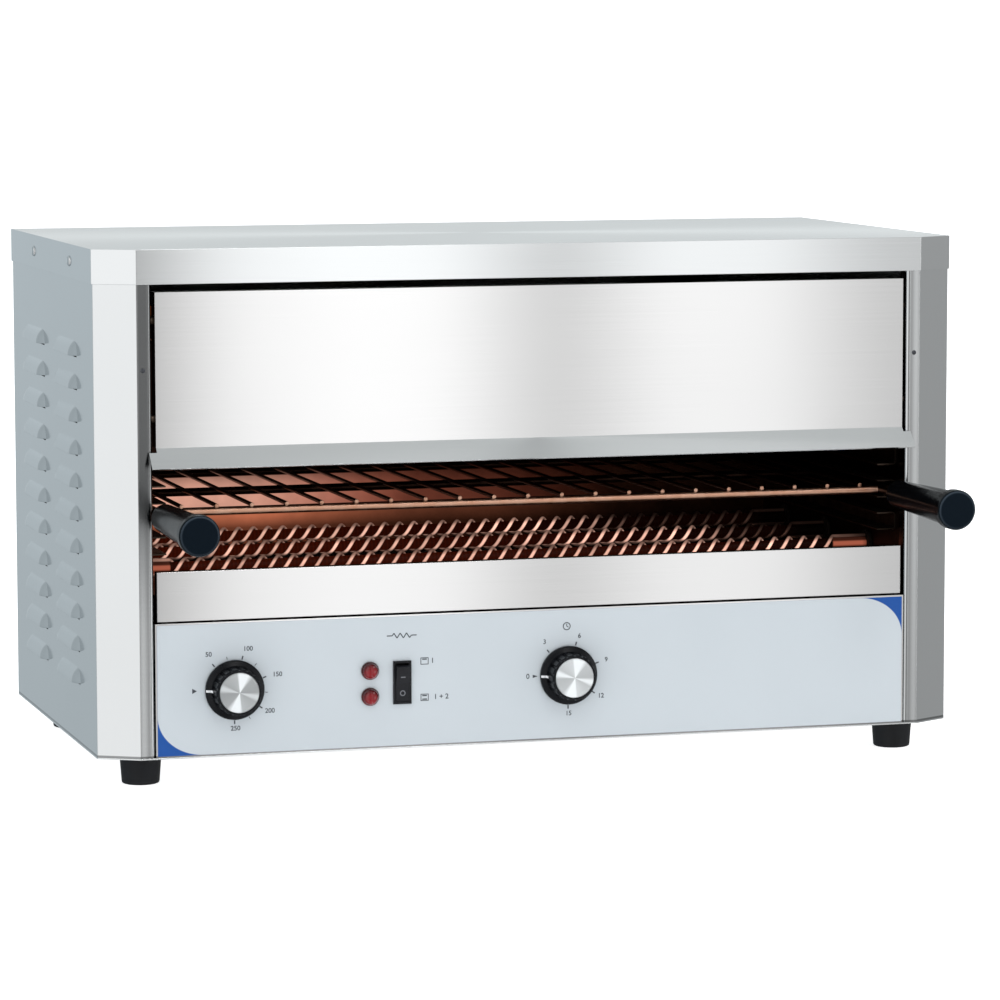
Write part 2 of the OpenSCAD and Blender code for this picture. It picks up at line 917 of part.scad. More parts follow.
module thermostat_bulb() {
    color("silver") placed() translate([0, bulb_y, bulb_z]) rod_x(-bulb_l / 2, bulb_l / 2, bulb_r);
}

module capillary_tube() {
    color("peru") placed() union() bent_tube([
        [-bulb_l / 2, bulb_y, bulb_z], [capillary_x, bulb_y, bulb_z], [capillary_x, capillary_y, bulb_z],
        [capillary_x, capillary_y, capillary_z], [capillary_x, thermostat_back, capillary_z]
    ], capillary_r);
}

clip_w = 8;
clip_wall = 1.2;
clip_foot_h = 14;

module bulb_clips() {
    color("silver") placed()
        for (side = [-1, 1])
            translate([side * bulb_l / 3, bulb_y, bulb_z]) difference() {
                union() {
                    rod_x(-clip_w / 2, clip_w / 2, bulb_r + hole_clear + clip_wall);
                    block([-clip_w / 2, bulb_stand - clip_wall, -clip_foot_h / 2],
                        [clip_w / 2, bulb_stand, clip_foot_h / 2]);
                    block([-clip_w / 2, 0, -bulb_r], [clip_w / 2, bulb_stand, bulb_r]);
                }
                rod_x(-clip_w, clip_w, bulb_r + hole_clear);
            }
}

// Knob: flared skirt, fluted grip, recess for the cap and socket for the shaft
module knob() {
    skirt_r = knob_d / 2;
    front_r = grip_d / 2;
    cap_r = cap_d / 2 + hole_clear;
    skirt_top = knob_clear + skirt_t;
    edge = 1;
    root_h = skirt_top + 2 * edge;
    taper = atan((grip_root_r - front_r) / (knob_h - edge - root_h));
    flute_r = 1.3;
    mark_w = 1.6;
    mark_rise = 0.4;
    difference() {
        turned_front([
            [recess_r, knob_clear], [skirt_r, knob_clear], [skirt_r, skirt_top],
            [skirt_r - edge, skirt_top + edge], [grip_root_r, root_h],
            [front_r, knob_h - edge], [front_r - edge, knob_h], [cap_r, knob_h], [cap_r, knob_h - cap_t],
            [0, knob_h - cap_t], [0, socket_top], [shaft_d / 2 + run_clear, socket_top],
            [shaft_d / 2 + run_clear, recess_h], [recess_r, recess_h]
        ]);
        for (k = [0 : flute_count - 1])
            rotate([0, 360 * (k + 0.5) / flute_count, 0])
                translate([-grip_root_r - flute_r * 0.4, -root_h, 0])
                    rotate([0, 0, taper])
                        rod_y(root_h - knob_h - flute_r, -flute_r / 2, flute_r);
        block([-skirt_r - edge, -root_h - edge, -mark_w / 2],
            [-grip_root_r - mark_rise, -skirt_top - mark_rise, mark_w / 2]);
    }
}

module knob_cap() {
    cap_r = cap_d / 2;
    seat = knob_h - cap_t;
    turned_front([
        [0, seat], [cap_r, seat], [cap_r, knob_h - cap_edge],
        [cap_r - cap_round, knob_h + cap_edge], [0, knob_h + cap_crown]
    ]);
}

module at_knob(x) {
    placed() translate([x, overlay_y, control_z]) children();
}

module thermostat_knob() {
    color("black") at_knob(thermostat_x) knob();
}

module timer_knob() {
    color("black") at_knob(timer_x) knob();
}

module thermostat_cap() {
    color("silver") at_knob(thermostat_x) knob_cap();
}

module timer_cap() {
    color("silver") at_knob(timer_x) knob_cap();
}

module shaft() {
    rod_y(-socket_top, shaft_end - overlay_y, shaft_d / 2);
}

module thermostat_shaft() {
    color("gray") at_knob(thermostat_x) shaft();
}

module timer_shaft() {
    color("gray") at_knob(timer_x) shaft();
}

// Switch

bezel_side = 0.8;
bezel_end = 1.2;
switch_body_w = switch_w - 2 * bezel_side;
switch_body_h = switch_h - 2 * bezel_end;
switch_body_d = 22;
bezel_t = 1.6;
bezel_y = overlay_y - bezel_t;
window_w = switch_w - 2 * bezel_rim;
window_h = switch_h - 2 * bezel_rim;
rocker_gap = 0.25;
rocker_half_w = window_w / 2 - rocker_gap;
rocker_end_gap = 1.2;
rocker_half_h = window_h / 2 - rocker_end_gap;
rocker_front = 3.2;
rocker_pivot = 2.6;
rocker_back = 3;
rocker_step = 2;
well_d = 8;
pivot_y = bezel_y + rocker_pivot;

module at_switch() {
    placed() translate([switch_x, pivot_y, control_z]) children();
}

module switch_housing() {
    front = -rocker_pivot;
    seat = front + bezel_t;
    color("black") at_switch() difference() {
        union() {
            block([-switch_w / 2, front, -switch_h / 2], [switch_w / 2, seat, switch_h / 2]);
            block([-switch_body_w / 2, front, -switch_body_h / 2],
                [switch_body_w / 2, front + switch_body_d, switch_body_h / 2]);
            translate([0, 0, switch_body_h / 4]) blades(front + switch_body_d - sheet);
            translate([0, 0, -switch_body_h / 4]) blades(front + switch_body_d - sheet);
        }
        block([-window_w / 2, front - sheet, -window_h / 2], [window_w / 2, front + well_d, window_h / 2]);
        rod_x(-switch_w, switch_w, trunnion_d / 2 + run_clear);
    }
}

// Rocker with two leaning faces, its lower face pressed level at rest
module rocker() {
    rise = rocker_half_h * tan(rocker_lean);
    shoulder = rocker_front - rocker_step;
    color("black") at_switch() rotate([rocker_lean, 0, 0]) {
        along_x(-rocker_half_w, rocker_half_w) polygon([
            [-rocker_front, 0], [-rocker_front - rise, rocker_half_h], [-shoulder, rocker_half_h],
            [rocker_back, rocker_half_h / 3], [rocker_back, -rocker_half_h / 3],
            [-shoulder, -rocker_half_h], [-rocker_front - rise, -rocker_half_h]
        ]);
        rod_x(-switch_body_w / 2, switch_body_w / 2, trunnion_d / 2);
    }
}

// Pilot lamps

lamp_rim_t = 1.4;
lamp_dome_h = 5;
lamp_step = 0.6;
lamp_stem_l = 24;
lamp_nut_t = 3;
lamp_nut_across = 14;
dome_steps = 6;

module lamp(side) {
    rim_r = lamp_d / 2;
    dome_r = rim_r - lamp_step;
    dome = [for (k = [0 : dome_steps])
        let (a = 90 * k / dome_steps)
        [dome_r * cos(a), lamp_rim_t + lamp_dome_h * sin(a)]];
    color("red") placed() translate([lamp_x, overlay_y, control_z + side * lamp_spacing / 2])
        turned_front(concat(
            [[0, -lamp_stem_l], [lamp_stem_d / 2, -lamp_stem_l], [lamp_stem_d / 2, 0], [rim_r, 0],
                [rim_r, lamp_rim_t]],
            dome
        ));
}

module upper_lamp() {
    lamp(1);
}

module lower_lamp() {
    lamp(-1);
}

module lamp_nuts() {
    color("silver") placed()
        for (side = [-1, 1])
            translate([lamp_x, 0, control_z + side * lamp_spacing / 2]) difference() {
                hex_y(panel_back, panel_back + lamp_nut_t, lamp_nut_across);
                rod_y(face_y, panel_back + 2 * lamp_nut_t, lamp_stem_d / 2 + hole_clear);
            }
}

// Supply

gland_z = floor_z + gland_rise;
gland_flange_t = 5;
gland_across = 24;
gland_in = 14;
gland_nut_t = 4;
gland_step = 1;
gland_chamfer = 4;

module at_gland() {
    placed() translate([gland_x, back_y, gland_z]) children();
}

module cable_gland() {
    dome_r = gland_across / 2 - gland_step;
    color("dimgray") at_gland() difference() {
        union() {
            rod_y(-gland_in, gland_flange_t, gland_thread_d / 2);
            hex_y(0, gland_flange_t, gland_across);
            rotate([-90, 0, 0]) rotate_extrude() polygon([
                [0, 0], [dome_r, 0], [dome_r, gland_out - gland_chamfer],
                [dome_r - gland_chamfer, gland_out], [0, gland_out]
            ]);
        }
        rod_y(-gland_in - sheet, gland_out + sheet, gland_bore_d / 2);
    }
}

module gland_nut() {
    color("dimgray") at_gland() difference() {
        hex_y(-sheet - gland_nut_t, -sheet, gland_across);
        rod_y(-gland_in, sheet, gland_thread_d / 2 + hole_clear);
    }
}

terminal_size = [52, 22, 18];
terminal_ways = 3;
terminal_pitch = 15;
terminal_bore_r = 3;
terminal_gap = 60;

module terminal_block() {
    color("white") placed() translate([gland_x - terminal_size.x, inner_back - terminal_gap, floor_z])
        difference() {
            translate([-terminal_size.x / 2, -terminal_size.y / 2, 0]) cube(terminal_size);
            for (way = [0 : terminal_ways - 1])
                translate([(way - (terminal_ways - 1) / 2) * terminal_pitch, 0, terminal_size.z / 2]) {
                    rod_y(-terminal_size.y, terminal_size.y, terminal_bore_r);
                    cylinder(h = terminal_size.z, r = terminal_bore_r * 0.8);
                }
        }
}

// Feet

foot_edge = 1.5;
foot_well_r = 6;
foot_well_h = 13;
foot_head_r = 4.5;
foot_head_h = 3;
foot_nut_t = 4;
foot_nut_across = 8;
foot_screw_over = 2;

module foot(side, y) {
    tip_r = foot_tip_d / 2;
    hole_r = foot_screw_d / 2 + hole_clear;
    color("black") placed() translate([side * foot_x, y, 0]) rotate_extrude() polygon([
        [foot_well_r, 0], [tip_r - foot_edge, 0], [tip_r - foot_edge * 0.3, foot_edge * 0.3],
        [tip_r, foot_edge], [foot_d / 2, foot_h], [hole_r, foot_h], [hole_r, foot_well_h],
        [foot_well_r, foot_well_h]
    ]);
}

module foot_screws() {
    shank_l = foot_h - foot_well_h + sheet + foot_nut_t + foot_screw_over;
    color("silver") placed() at_feet() translate([0, 0, foot_well_h]) rotate([180, 0, 0])
        screw(foot_head_r, foot_head_h, foot_screw_d / 2, shank_l);
}

module foot_nuts() {
    color("silver") placed() at_feet() translate([0, 0, floor_z]) difference() {
        cylinder(h = foot_nut_t, r = foot_nut_across / sqrt(3), $fn = 6);
        cylinder(h = 3 * foot_nut_t, r = foot_screw_d / 2 + hole_clear, center = true);
    }
}

// Cabinet fasteners

module cover_screws() {
    color("silver") placed() at_cover_screws()
        screw(cover_head_r, cover_head_h, cover_screw_r, cover_screw_l);
}

module back_screws() {
    color("silver") placed() at_back_screws()
        screw(back_head_r, back_head_h, back_screw_r, back_screw_l);
}

module hood_screws() {
    color("silver") placed() at_hood_screws() {
        screw(hood_head_r, hood_head_h, hood_screw_r, 2 * sheet + side_gap);
        translate([0, 0, -sheet - side_gap]) cylinder(h = side_gap, r = hood_collar_r);
    }
}

module post_rivets() {
    color("silver") placed() at_rivets() screw(rivet_head_r, rivet_head_h, rivet_r, 2 * sheet);
}

// Rack, handles and tray

weld_sink = 0.4;
rack_back = liner_back - rack_gap;
last_bar_y = rack_back - rail_d;
bar_ys = [first_bar_y, (first_bar_y + last_bar_y) / 2, last_bar_y];
wire_z = rack_z + bar_d / 2 + wire_d / 2 - weld_sink;
handle_root_y = -handle_root_gap;

module rack_grid() {
    color("silver") placed() union() {
        both_sides()
            translate([rail_x, 0, rack_z]) rod_y(handle_root_y - handle_socket, rack_back, rail_d / 2);
        for (y = bar_ys) translate([0, y, rack_z]) rod_x(-rail_x, rail_x, bar_d / 2);
        for (n = [-wire_count : wire_count])
            translate([n * wire_step, 0, wire_z])
                rod_y(first_bar_y - wire_over, last_bar_y + wire_over, wire_d / 2);
    }
}

// Bar handle: a barrel that swells to a beaded, rounded tip, with a socket for the rail
module handle() {
    tip = handle_reach;
    bead = tip - handle_bead_l;
    root_edge = 1;
    edge = 2;
    socket_r = rail_d / 2 + run_clear;
    socket_end = handle_root_gap + handle_socket + run_clear;
    translate([rail_x, 0, rack_z]) turned_front([
        [socket_r, handle_root_gap], [handle_root_r - root_edge, handle_root_gap],
        [handle_root_r, handle_root_gap + root_edge], [handle_waist_r, bead - edge],
        [handle_bead_r, bead], [handle_bead_r, tip - edge], [handle_bead_r - edge * 0.3, tip - edge * 0.3],
        [handle_bead_r - edge, tip], [0, tip], [0, socket_end], [socket_r, socket_end]
    ]);
}

module right_handle() {
    color("black") placed() handle();
}

module left_handle() {
    color("black") placed() mirrored() handle();
}

tray_y = face_y + tray_set;
pan_half = panel_half - pan_step;
pan_back = liner_back - pan_gap;

module crumb_tray() {
    front_back = tray_y + tray_lip;
    pan_top = tray_z + pan_h;
    color("gainsboro") placed() union() {
        block([-panel_half, tray_y, tray_z], [panel_half, tray_y + sheet, tray_top]);
        block([-panel_half, tray_y, tray_top - sheet], [panel_half, front_back, tray_top]);
        both_sides()
            block([panel_half - sheet, tray_y, tray_z], [panel_half, front_back, tray_top]);
        difference() {
            block([-pan_half, tray_y, tray_z], [pan_half, pan_back, pan_top]);
            block([-pan_half + sheet, tray_y + sheet, tray_z + sheet],
                [pan_half - sheet, pan_back - sheet, pan_top + sheet]);
        }
    }
}

top_cover();
left_side_panel();
right_side_panel();
back_panel();
base_plate();
hood_panel();
control_panel();
control_overlay();
left_liner();
right_liner();
back_liner();
roof_reflector();
shelf_plate();
left_runners();
right_runners();
tube(1, lower_z);  // lower_tube_1
tube(2, lower_z);  // lower_tube_2
tube(3, lower_z);  // lower_tube_3
guard(1);  // lower_guard_1
guard(2);  // lower_guard_2
guard(3);  // lower_guard_3
tube(1, upper_z);  // upper_tube_1
tube(2, upper_z);  // upper_tube_2
tube(3, upper_z);  // upper_tube_3
element_bushes();
terminal_pins();
thermostat_body();
thermostat_bulb();
capillary_tube();
bulb_clips();
timer_body();
control_nuts();
switch_housing();
rocker();
upper_lamp();
lower_lamp();
lamp_nuts();
terminal_block();
cable_gland();
gland_nut();
foot(-1, foot_inset_y);  // front_left_foot
foot(1, foot_inset_y);  // front_right_foot
foot(-1, foot_back_y);  // rear_left_foot
foot(1, foot_back_y);  // rear_right_foot
foot_screws();
foot_nuts();
cover_screws();
back_screws();
hood_screws();
post_rivets();
rack_grid();
left_handle();
right_handle();
crumb_tray();
thermostat_knob();
thermostat_cap();
thermostat_shaft();
timer_knob();
timer_cap();
timer_shaft();
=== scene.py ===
"""Looks of the salamander grill: materials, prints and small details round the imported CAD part."""

import math

import bmesh
import bpy
from mathutils import Matrix, Vector

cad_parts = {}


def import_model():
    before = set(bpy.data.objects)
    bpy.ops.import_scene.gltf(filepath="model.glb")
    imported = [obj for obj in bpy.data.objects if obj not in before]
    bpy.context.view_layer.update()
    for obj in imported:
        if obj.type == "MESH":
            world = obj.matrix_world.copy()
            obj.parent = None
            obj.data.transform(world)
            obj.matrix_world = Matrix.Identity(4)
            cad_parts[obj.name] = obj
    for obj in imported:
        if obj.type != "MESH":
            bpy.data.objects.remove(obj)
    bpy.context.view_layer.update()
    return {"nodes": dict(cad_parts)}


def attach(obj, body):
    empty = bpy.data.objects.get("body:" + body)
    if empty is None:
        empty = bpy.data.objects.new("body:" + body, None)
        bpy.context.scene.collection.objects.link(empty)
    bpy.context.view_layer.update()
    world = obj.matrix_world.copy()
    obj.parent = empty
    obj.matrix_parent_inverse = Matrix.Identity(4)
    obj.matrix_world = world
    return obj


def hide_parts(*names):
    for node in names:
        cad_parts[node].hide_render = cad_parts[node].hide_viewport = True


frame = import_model()
NODES = frame["nodes"]
MM = 0.001
WHITE = (1, 1, 1)


def box(name):
    """Low and high corner of a CAD node."""
    corners = [NODES[name].matrix_world @ Vector(c) for c in NODES[name].bound_box]
    return Vector(map(min, zip(*corners))), Vector(map(max, zip(*corners)))


def middle(name):
    """Middle of a CAD node's box."""
    low, high = box(name)
    return (low + high) / 2


# Places on the part

FRONT_Y = box("top_cover")[0].y
OVERLAY_Y = box("control_overlay")[0].y
CONTROL_Z = middle("thermostat_cap").z
THERMOSTAT_X = middle("thermostat_cap").x
TIMER_X = middle("timer_cap").x
SWITCH_X = middle("switch_housing").x
LAMP_X = middle("upper_lamp").x
LAMP_RISE = middle("upper_lamp").z - CONTROL_Z
HANDLE_TIP_Y = box("left_handle")[0].y
HANDLE_X = middle("right_handle").x
HANDLE_Z = middle("right_handle").z
HANDLE_R = (box("right_handle")[1].x - box("right_handle")[0].x) / 2
# Fold between a front post and its chamfer, from the middle of the part, and the post's width
POST_X = 291.2 * MM
POST_W = 10.4 * MM
# Height at which the line of sight over the rack's front bar meets the back liner
BAR_SHADOW_Z = 163 * MM
# Height over which painted shade falls on the turns of the wire guards
GUARD_CROWN_Z = middle("lower_tube_1").z + 2.2 * MM


# Node helpers

# Sockets of a colour mix
MIX_FACTOR, MIX_A, MIX_B = 0, 6, 7
MIX_RESULT = 2
# Values between which most of a noise pattern lies, and most of the brush marks
NOISE_RANGE = (0.3, 0.7)
STREAK_RANGE = (0.25, 0.75)


def new_material(name):
    """A material with one empty shader, its node tree and that shader."""
    mat = bpy.data.materials.new(name)
    mat.use_nodes = True
    tree = mat.node_tree
    tree.nodes.clear()
    out = tree.nodes.new("ShaderNodeOutputMaterial")
    shader = tree.nodes.new("ShaderNodeBsdfPrincipled")
    tree.links.new(shader.outputs[0], out.inputs[0])
    return mat, tree, shader


def put(socket, value):
    """Links a socket to an output, or sets its own value."""
    if isinstance(value, bpy.types.NodeSocket):
        socket.id_data.links.new(value, socket)
    else:
        socket.default_value = value


def dress(shader, sockets):
    """Links or sets several sockets of a shader by their names."""
    for name, value in sockets.items():
        put(shader.inputs[name], value)


def coords(tree, scale=(1, 1, 1)):
    """Places in the part's frame, scaled along each axis."""
    place = tree.nodes.new("ShaderNodeTexCoord")
    mapping = tree.nodes.new("ShaderNodeMapping")
    mapping.inputs["Scale"].default_value = scale
    tree.links.new(place.outputs["Object"], mapping.inputs["Vector"])
    return mapping.outputs["Vector"]


def parts_of(tree, vector):
    """The x, y and z of a vector."""
    split = tree.nodes.new("ShaderNodeSeparateXYZ")
    tree.links.new(vector, split.inputs[0])
    return split.outputs[0], split.outputs[1], split.outputs[2]


def axes(tree):
    """The x, y and z of a place in the part's frame."""
    return parts_of(tree, tree.nodes.new("ShaderNodeTexCoord").outputs["Object"])


def facing(tree):
    """The x, y and z of the direction that a surface faces."""
    return parts_of(tree, tree.nodes.new("ShaderNodeNewGeometry").outputs["Normal"])


def vector_along_x(tree, x):
    node = tree.nodes.new("ShaderNodeCombineXYZ")
    tree.links.new(x, node.inputs[0])
    return node.outputs[0]


def noise(tree, vector, scale=1.0, detail=3.0, rough=0.55):
    node = tree.nodes.new("ShaderNodeTexNoise")
    node.inputs["Scale"].default_value = scale
    node.inputs["Detail"].default_value = detail
    node.inputs["Roughness"].default_value = rough
    tree.links.new(vector, node.inputs["Vector"])
    return node.outputs["Fac"]


def between(tree, value, low, high, out_low, out_high, smooth=False):
    """A number that goes from out_low to out_high while value goes from low to high."""
    node = tree.nodes.new("ShaderNodeMapRange")
    node.interpolation_type = "SMOOTHSTEP" if smooth else "LINEAR"
    put(node.inputs["Value"], value)
    node.inputs["From Min"].default_value = low
    node.inputs["From Max"].default_value = high
    node.inputs["To Min"].default_value = out_low
    node.inputs["To Max"].default_value = out_high
    return node.outputs["Result"]


def vary(tree, pattern, low, high):
    """A number that follows a noise pattern."""
    return between(tree, pattern, *NOISE_RANGE, low, high)


def streaked(tree, fine, low, high):
    """A number that follows the brush marks."""
    return between(tree, fine, *STREAK_RANGE, low, high)


def math_node(tree, operation, a, b=0.0):
    node = tree.nodes.new("ShaderNodeMath")
    node.operation = operation
    put(node.inputs[0], a)
    put(node.inputs[1], b)
    return node.outputs[0]


def product(tree, first, *others):
    result = first
    for factor in others:
        result = math_node(tree, "MULTIPLY", result, factor)
    return result


def square_sum(tree, a, b):
    return math_node(tree, "ADD", product(tree, a, a), product(tree, b, b))


def distance(tree, a, b):
    return math_node(tree, "SQRT", square_sum(tree, a, b))


def blend(tree, factor, a, b, way="MIX"):
    """A colour from a to b."""
    node = tree.nodes.new("ShaderNodeMix")
    node.data_type = "RGBA"
    node.blend_type = way
    put(node.inputs[MIX_FACTOR], factor)
    put(node.inputs[MIX_A], a)
    put(node.inputs[MIX_B], b)
    return node.outputs[MIX_RESULT]


def mottle(tree, pattern, dark, light):
    """A colour that follows a noise pattern."""
    return blend(tree, vary(tree, pattern, 0, 1), dark, light)


def shade_of(tree, colour, shade):
    """A colour multiplied by another."""
    return blend(tree, 1.0, colour, shade, "MULTIPLY")


def ramp(tree, place, stops):
    """Colours along a place from 0 to 1, as (place, colour), with the first stop at 0 and the last at 1."""
    node = tree.nodes.new("ShaderNodeValToRGB")
    put(node.inputs[0], place)
    elements = node.color_ramp.elements
    for at, colour in stops:
        stop = elements[int(at) * (len(elements) - 1)] if at in (0, 1) else elements.new(at)
        stop.color = colour
    return node.outputs[0]


def bump(tree, height, strength, depth, normal=None):
    """Fine relief, over the surface's own direction or another."""
    node = tree.nodes.new("ShaderNodeBump")
    node.inputs["Strength"].default_value = strength
    node.inputs["Distance"].default_value = depth
    tree.links.new(height, node.inputs["Height"])
    if normal:
        tree.links.new(normal, node.inputs["Normal"])
    return node.outputs["Normal"]


def soft_edges(tree, radius):
    """Rounded edges of folded or moulded pieces, in the shading."""
    node = tree.nodes.new("ShaderNodeBevel")
    node.samples = 6
    node.inputs["Radius"].default_value = radius
    return node.outputs[0]


def grey(value, tint=WHITE):
    return (value * tint[0], value * tint[1], value * tint[2], 1)


# Brushed sheet

STREAKS = (6, 2600, 2600)
SLOW_CLOUD = (7, 7, 7)
# Share of a turn that lays the brush marks from side to side
BRUSH_TURN = 0.25
FOLD = 0.6 * MM
SHARP_FOLD = 0.2 * MM
# Painted reflection bands across a front post from its chamfer to its inner edge, where lit and in the lid's
# painted shade
POST_LIT = [(0, 0.78), (0.22, 1), (0.36, 0.94), (0.58, 0.62), (0.74, 0.7), (0.9, 1), (1, 1)]
POST_SHADED = [(0, 0.6), (0.14, 0.25), (0.72, 0.24), (0.9, 0.5), (1, 0.5)]
# Heights over which painted shade darkens the left post and painted light brightens the right post
LEFT_POST_Z = (100 * MM, 240 * MM)
RIGHT_POST_Z = (50 * MM, 300 * MM)
# Painted shade on the sheets inside the mouth, behind its front edge: its colour, how far back and from which
# height
MOUTH_SHADE = (0.012, 0.008, 0.006, 1)
MOUTH_SHADE_DEPTH = 50 * MM
MOUTH_SHADE_Z = (40 * MM, 50 * MM)
# Lower edge of the sheets, darkened by painted shade
LOWER_EDGE_Z = (23.8 * MM, 24.2 * MM)


def streaks(tree):
    """Fine brush marks."""
    return noise(tree, coords(tree, STREAKS), detail=4, rough=0.65)


def brush_finish(tree, shader, fine, fold):
    """Metal with brush marks from side to side and softened folds."""
    dress(shader, {
        "Metallic": 1,
        "Anisotropic": 1,
        "Anisotropic Rotation": BRUSH_TURN,
        "Normal": bump(tree, fine, 0.03, 0.04 * MM, soft_edges(tree, fold)),
    })


def with_post_light_and_shade(tree, colour):
    """A sheet's colour with painted light and shade on the front posts: reflection bands, and the lid's shade
    on the left one.
    """
    x, _, z = axes(tree)
    from_middle = math_node(tree, "ABSOLUTE", x)
    across = between(tree, from_middle, POST_X - POST_W, POST_X, 1, 0)
    lit = ramp(tree, across, [(at, grey(level)) for at, level in POST_LIT])
    shaded = ramp(tree, across, [(at, grey(level)) for at, level in POST_SHADED])
    left = blend(tree, between(tree, z, *LEFT_POST_Z, 0, 1, True), lit, shaded)
    rising = blend(tree, between(tree, z, *RIGHT_POST_Z, 0, 1), grey(0.8), grey(0.96))
    right = shade_of(tree, lit, rising)
    shade = blend(tree, math_node(tree, "GREATER_THAN", x, 0.0), left, right)
    on_post = math_node(tree, "LESS_THAN", from_middle, POST_X)
    return blend(tree, on_post, colour, shade_of(tree, colour, shade))


def with_mouth_shade(tree, colour, start_y):
    """A sheet's colour, near black with painted shade inside the mouth behind start_y, and with painted shade
    along its lower edge.
    """
    x, y, z = axes(tree)
    inside = product(tree,
                     math_node(tree, "LESS_THAN", math_node(tree, "ABSOLUTE", x), POST_X),
                     between(tree, y, start_y, start_y + 0.6 * MM, 0, 1),
                     math_node(tree, "LESS_THAN", y, FRONT_Y + MOUTH_SHADE_DEPTH),
                     between(tree, z, *MOUTH_SHADE_Z, 0, 1))
    lower_edge_shade = blend(tree, between(tree, z, *LOWER_EDGE_Z, 0, 1), grey(0.4), grey(1))
    return shade_of(tree, blend(tree, inside, colour, MOUTH_SHADE), lower_edge_shade)


def brushed_steel(name, tone, rough, tint=WHITE, posts=False, shade_from=None, fold=FOLD):
    """Sheet brushed from side to side: fine streaks in tone, roughness and height, and a faint slow cloud.
    Behind the given place it is near black with painted shade inside the mouth."""
    mat, tree, shader = new_material(name)
    fine = streaks(tree)
    slow = noise(tree, coords(tree, SLOW_CLOUD), detail=2)
    mixed = math_node(tree, "ADD", streaked(tree, fine, 0, 0.7), vary(tree, slow, 0, 0.3))
    colour = blend(tree, mixed, grey(tone * 0.95, tint), grey(tone * 1.03, tint))
    if posts:
        colour = with_post_light_and_shade(tree, colour)
    if shade_from is not None:
        colour = with_mouth_shade(tree, colour, shade_from)
    dress(shader, {
        "Base Color": colour,
        "Roughness": streaked(tree, fine, rough - 0.015, rough + 0.015),
    })
    brush_finish(tree, shader, fine, fold)
    return mat


# The tray's pan starts behind its front sheet; near the front it is near black, painted shade over baked-on
# browning
PAN_Y = (FRONT_Y + 3.8 * MM, FRONT_Y + 4.6 * MM)
SHADE_AND_BAKED_Y = (FRONT_Y + 22 * MM, FRONT_Y + 60 * MM)


def tray_steel():
    """Brushed front, and a pan behind it: near black near the front with painted shade over baked-on
    browning, stained further back.
    """
    mat, tree, shader = new_material("tray_steel")
    _, y, _ = axes(tree)
    fine = streaks(tree)
    cloud = noise(tree, coords(tree), scale=30, detail=5, rough=0.6)
    pan = between(tree, y, *PAN_Y, 0, 1)
    front = blend(tree, fine, grey(0.7), grey(0.77))
    # Near the front the pan is painted shade in the gaps beside the tray, as well as browned
    shade_and_baked = blend(tree, cloud, (0.006, 0.004, 0.003, 1), (0.03, 0.018, 0.012, 1))
    stained = blend(tree, cloud, (0.07, 0.055, 0.045, 1), (0.2, 0.17, 0.145, 1))
    behind = blend(tree, between(tree, y, *SHADE_AND_BAKED_Y, 0, 1, True), shade_and_baked, stained)
    rough = streaked(tree, fine, 0.1, 0.125)
    dress(shader, {
        "Base Color": blend(tree, pan, front, behind),
        "Roughness": math_node(tree, "ADD", rough, product(tree, pan, 0.55)),
    })
    brush_finish(tree, shader, fine, FOLD)
    return mat


# Inside of the mouth

# Height over which the linings get dark with painted shade under the roof
ROOF_SHADE_Z = (190 * MM, 210 * MM)
# Reach of the painted light of the tubes on the back liner, from the left and towards the right
LIGHT_LEFT_X = (-165 * MM, 5 * MM)
LIGHT_RIGHT_X = (0, 170 * MM)
# Heights over which that painted light fades under the rack's front bar and over it
UNDER_BAR_Z = (147 * MM, 156 * MM)
OVER_BAR_Z = (172 * MM, 200 * MM)
ORANGE_LIGHT = (1, 0.29, 0.145, 1)
RED_LIGHT = (1, 0.22, 0.12, 1)
PINK_LIGHT = (1, 0.5, 0.37, 1)


def tube_light(tree, cloud, glow):
    """Painted tube light on the back liner, glowing as emission and fading to the right: orange under the
    rack's bar and pink over it.
    """
    x, _, z = axes(tree)
    fade = product(tree, between(tree, x, *LIGHT_LEFT_X, 1, 0.14, True),
                   between(tree, x, *LIGHT_RIGHT_X, 1, 0, True))
    under_bar = math_node(tree, "LESS_THAN", z, BAR_SHADOW_Z)
    over_bar = math_node(tree, "SUBTRACT", 1.0, under_bar)
    light_level = math_node(tree, "ADD",
                     product(tree, under_bar, between(tree, z, *UNDER_BAR_Z, 0.3, 1.2)),
                     product(tree, over_bar, between(tree, z, *OVER_BAR_Z, 1.6, 0.02, True)))
    above = blend(tree, fade, RED_LIGHT, PINK_LIGHT)
    return {
        "Emission Color": blend(tree, under_bar, above, ORANGE_LIGHT),
        "Emission Strength": product(tree, fade, light_level, vary(tree, cloud, 0.75, 1.15), glow),
    }


def lining(name, dark, light, glow=0.0):
    """Heat-stained lining with brown clouds, painted shade towards the roof, and painted light from the tubes
    if glow is set.
    """
    mat, tree, shader = new_material(name)
    _, _, z = axes(tree)
    cloud = noise(tree, coords(tree), scale=22, detail=5, rough=0.6)
    roof_shade = blend(tree, between(tree, z, *ROOF_SHADE_Z, 0, 1), grey(1), grey(0.12))
    dress(shader, {
        "Base Color": shade_of(tree, mottle(tree, cloud, dark, light), roof_shade),
        "Roughness": vary(tree, cloud, 0.62, 0.45),
        "Metallic": 1,
        "Normal": bump(tree, noise(tree, coords(tree), scale=700), 0.08, 0.2 * MM),
    })
    if glow:
        dress(shader, tube_light(tree, cloud, glow))
    return mat


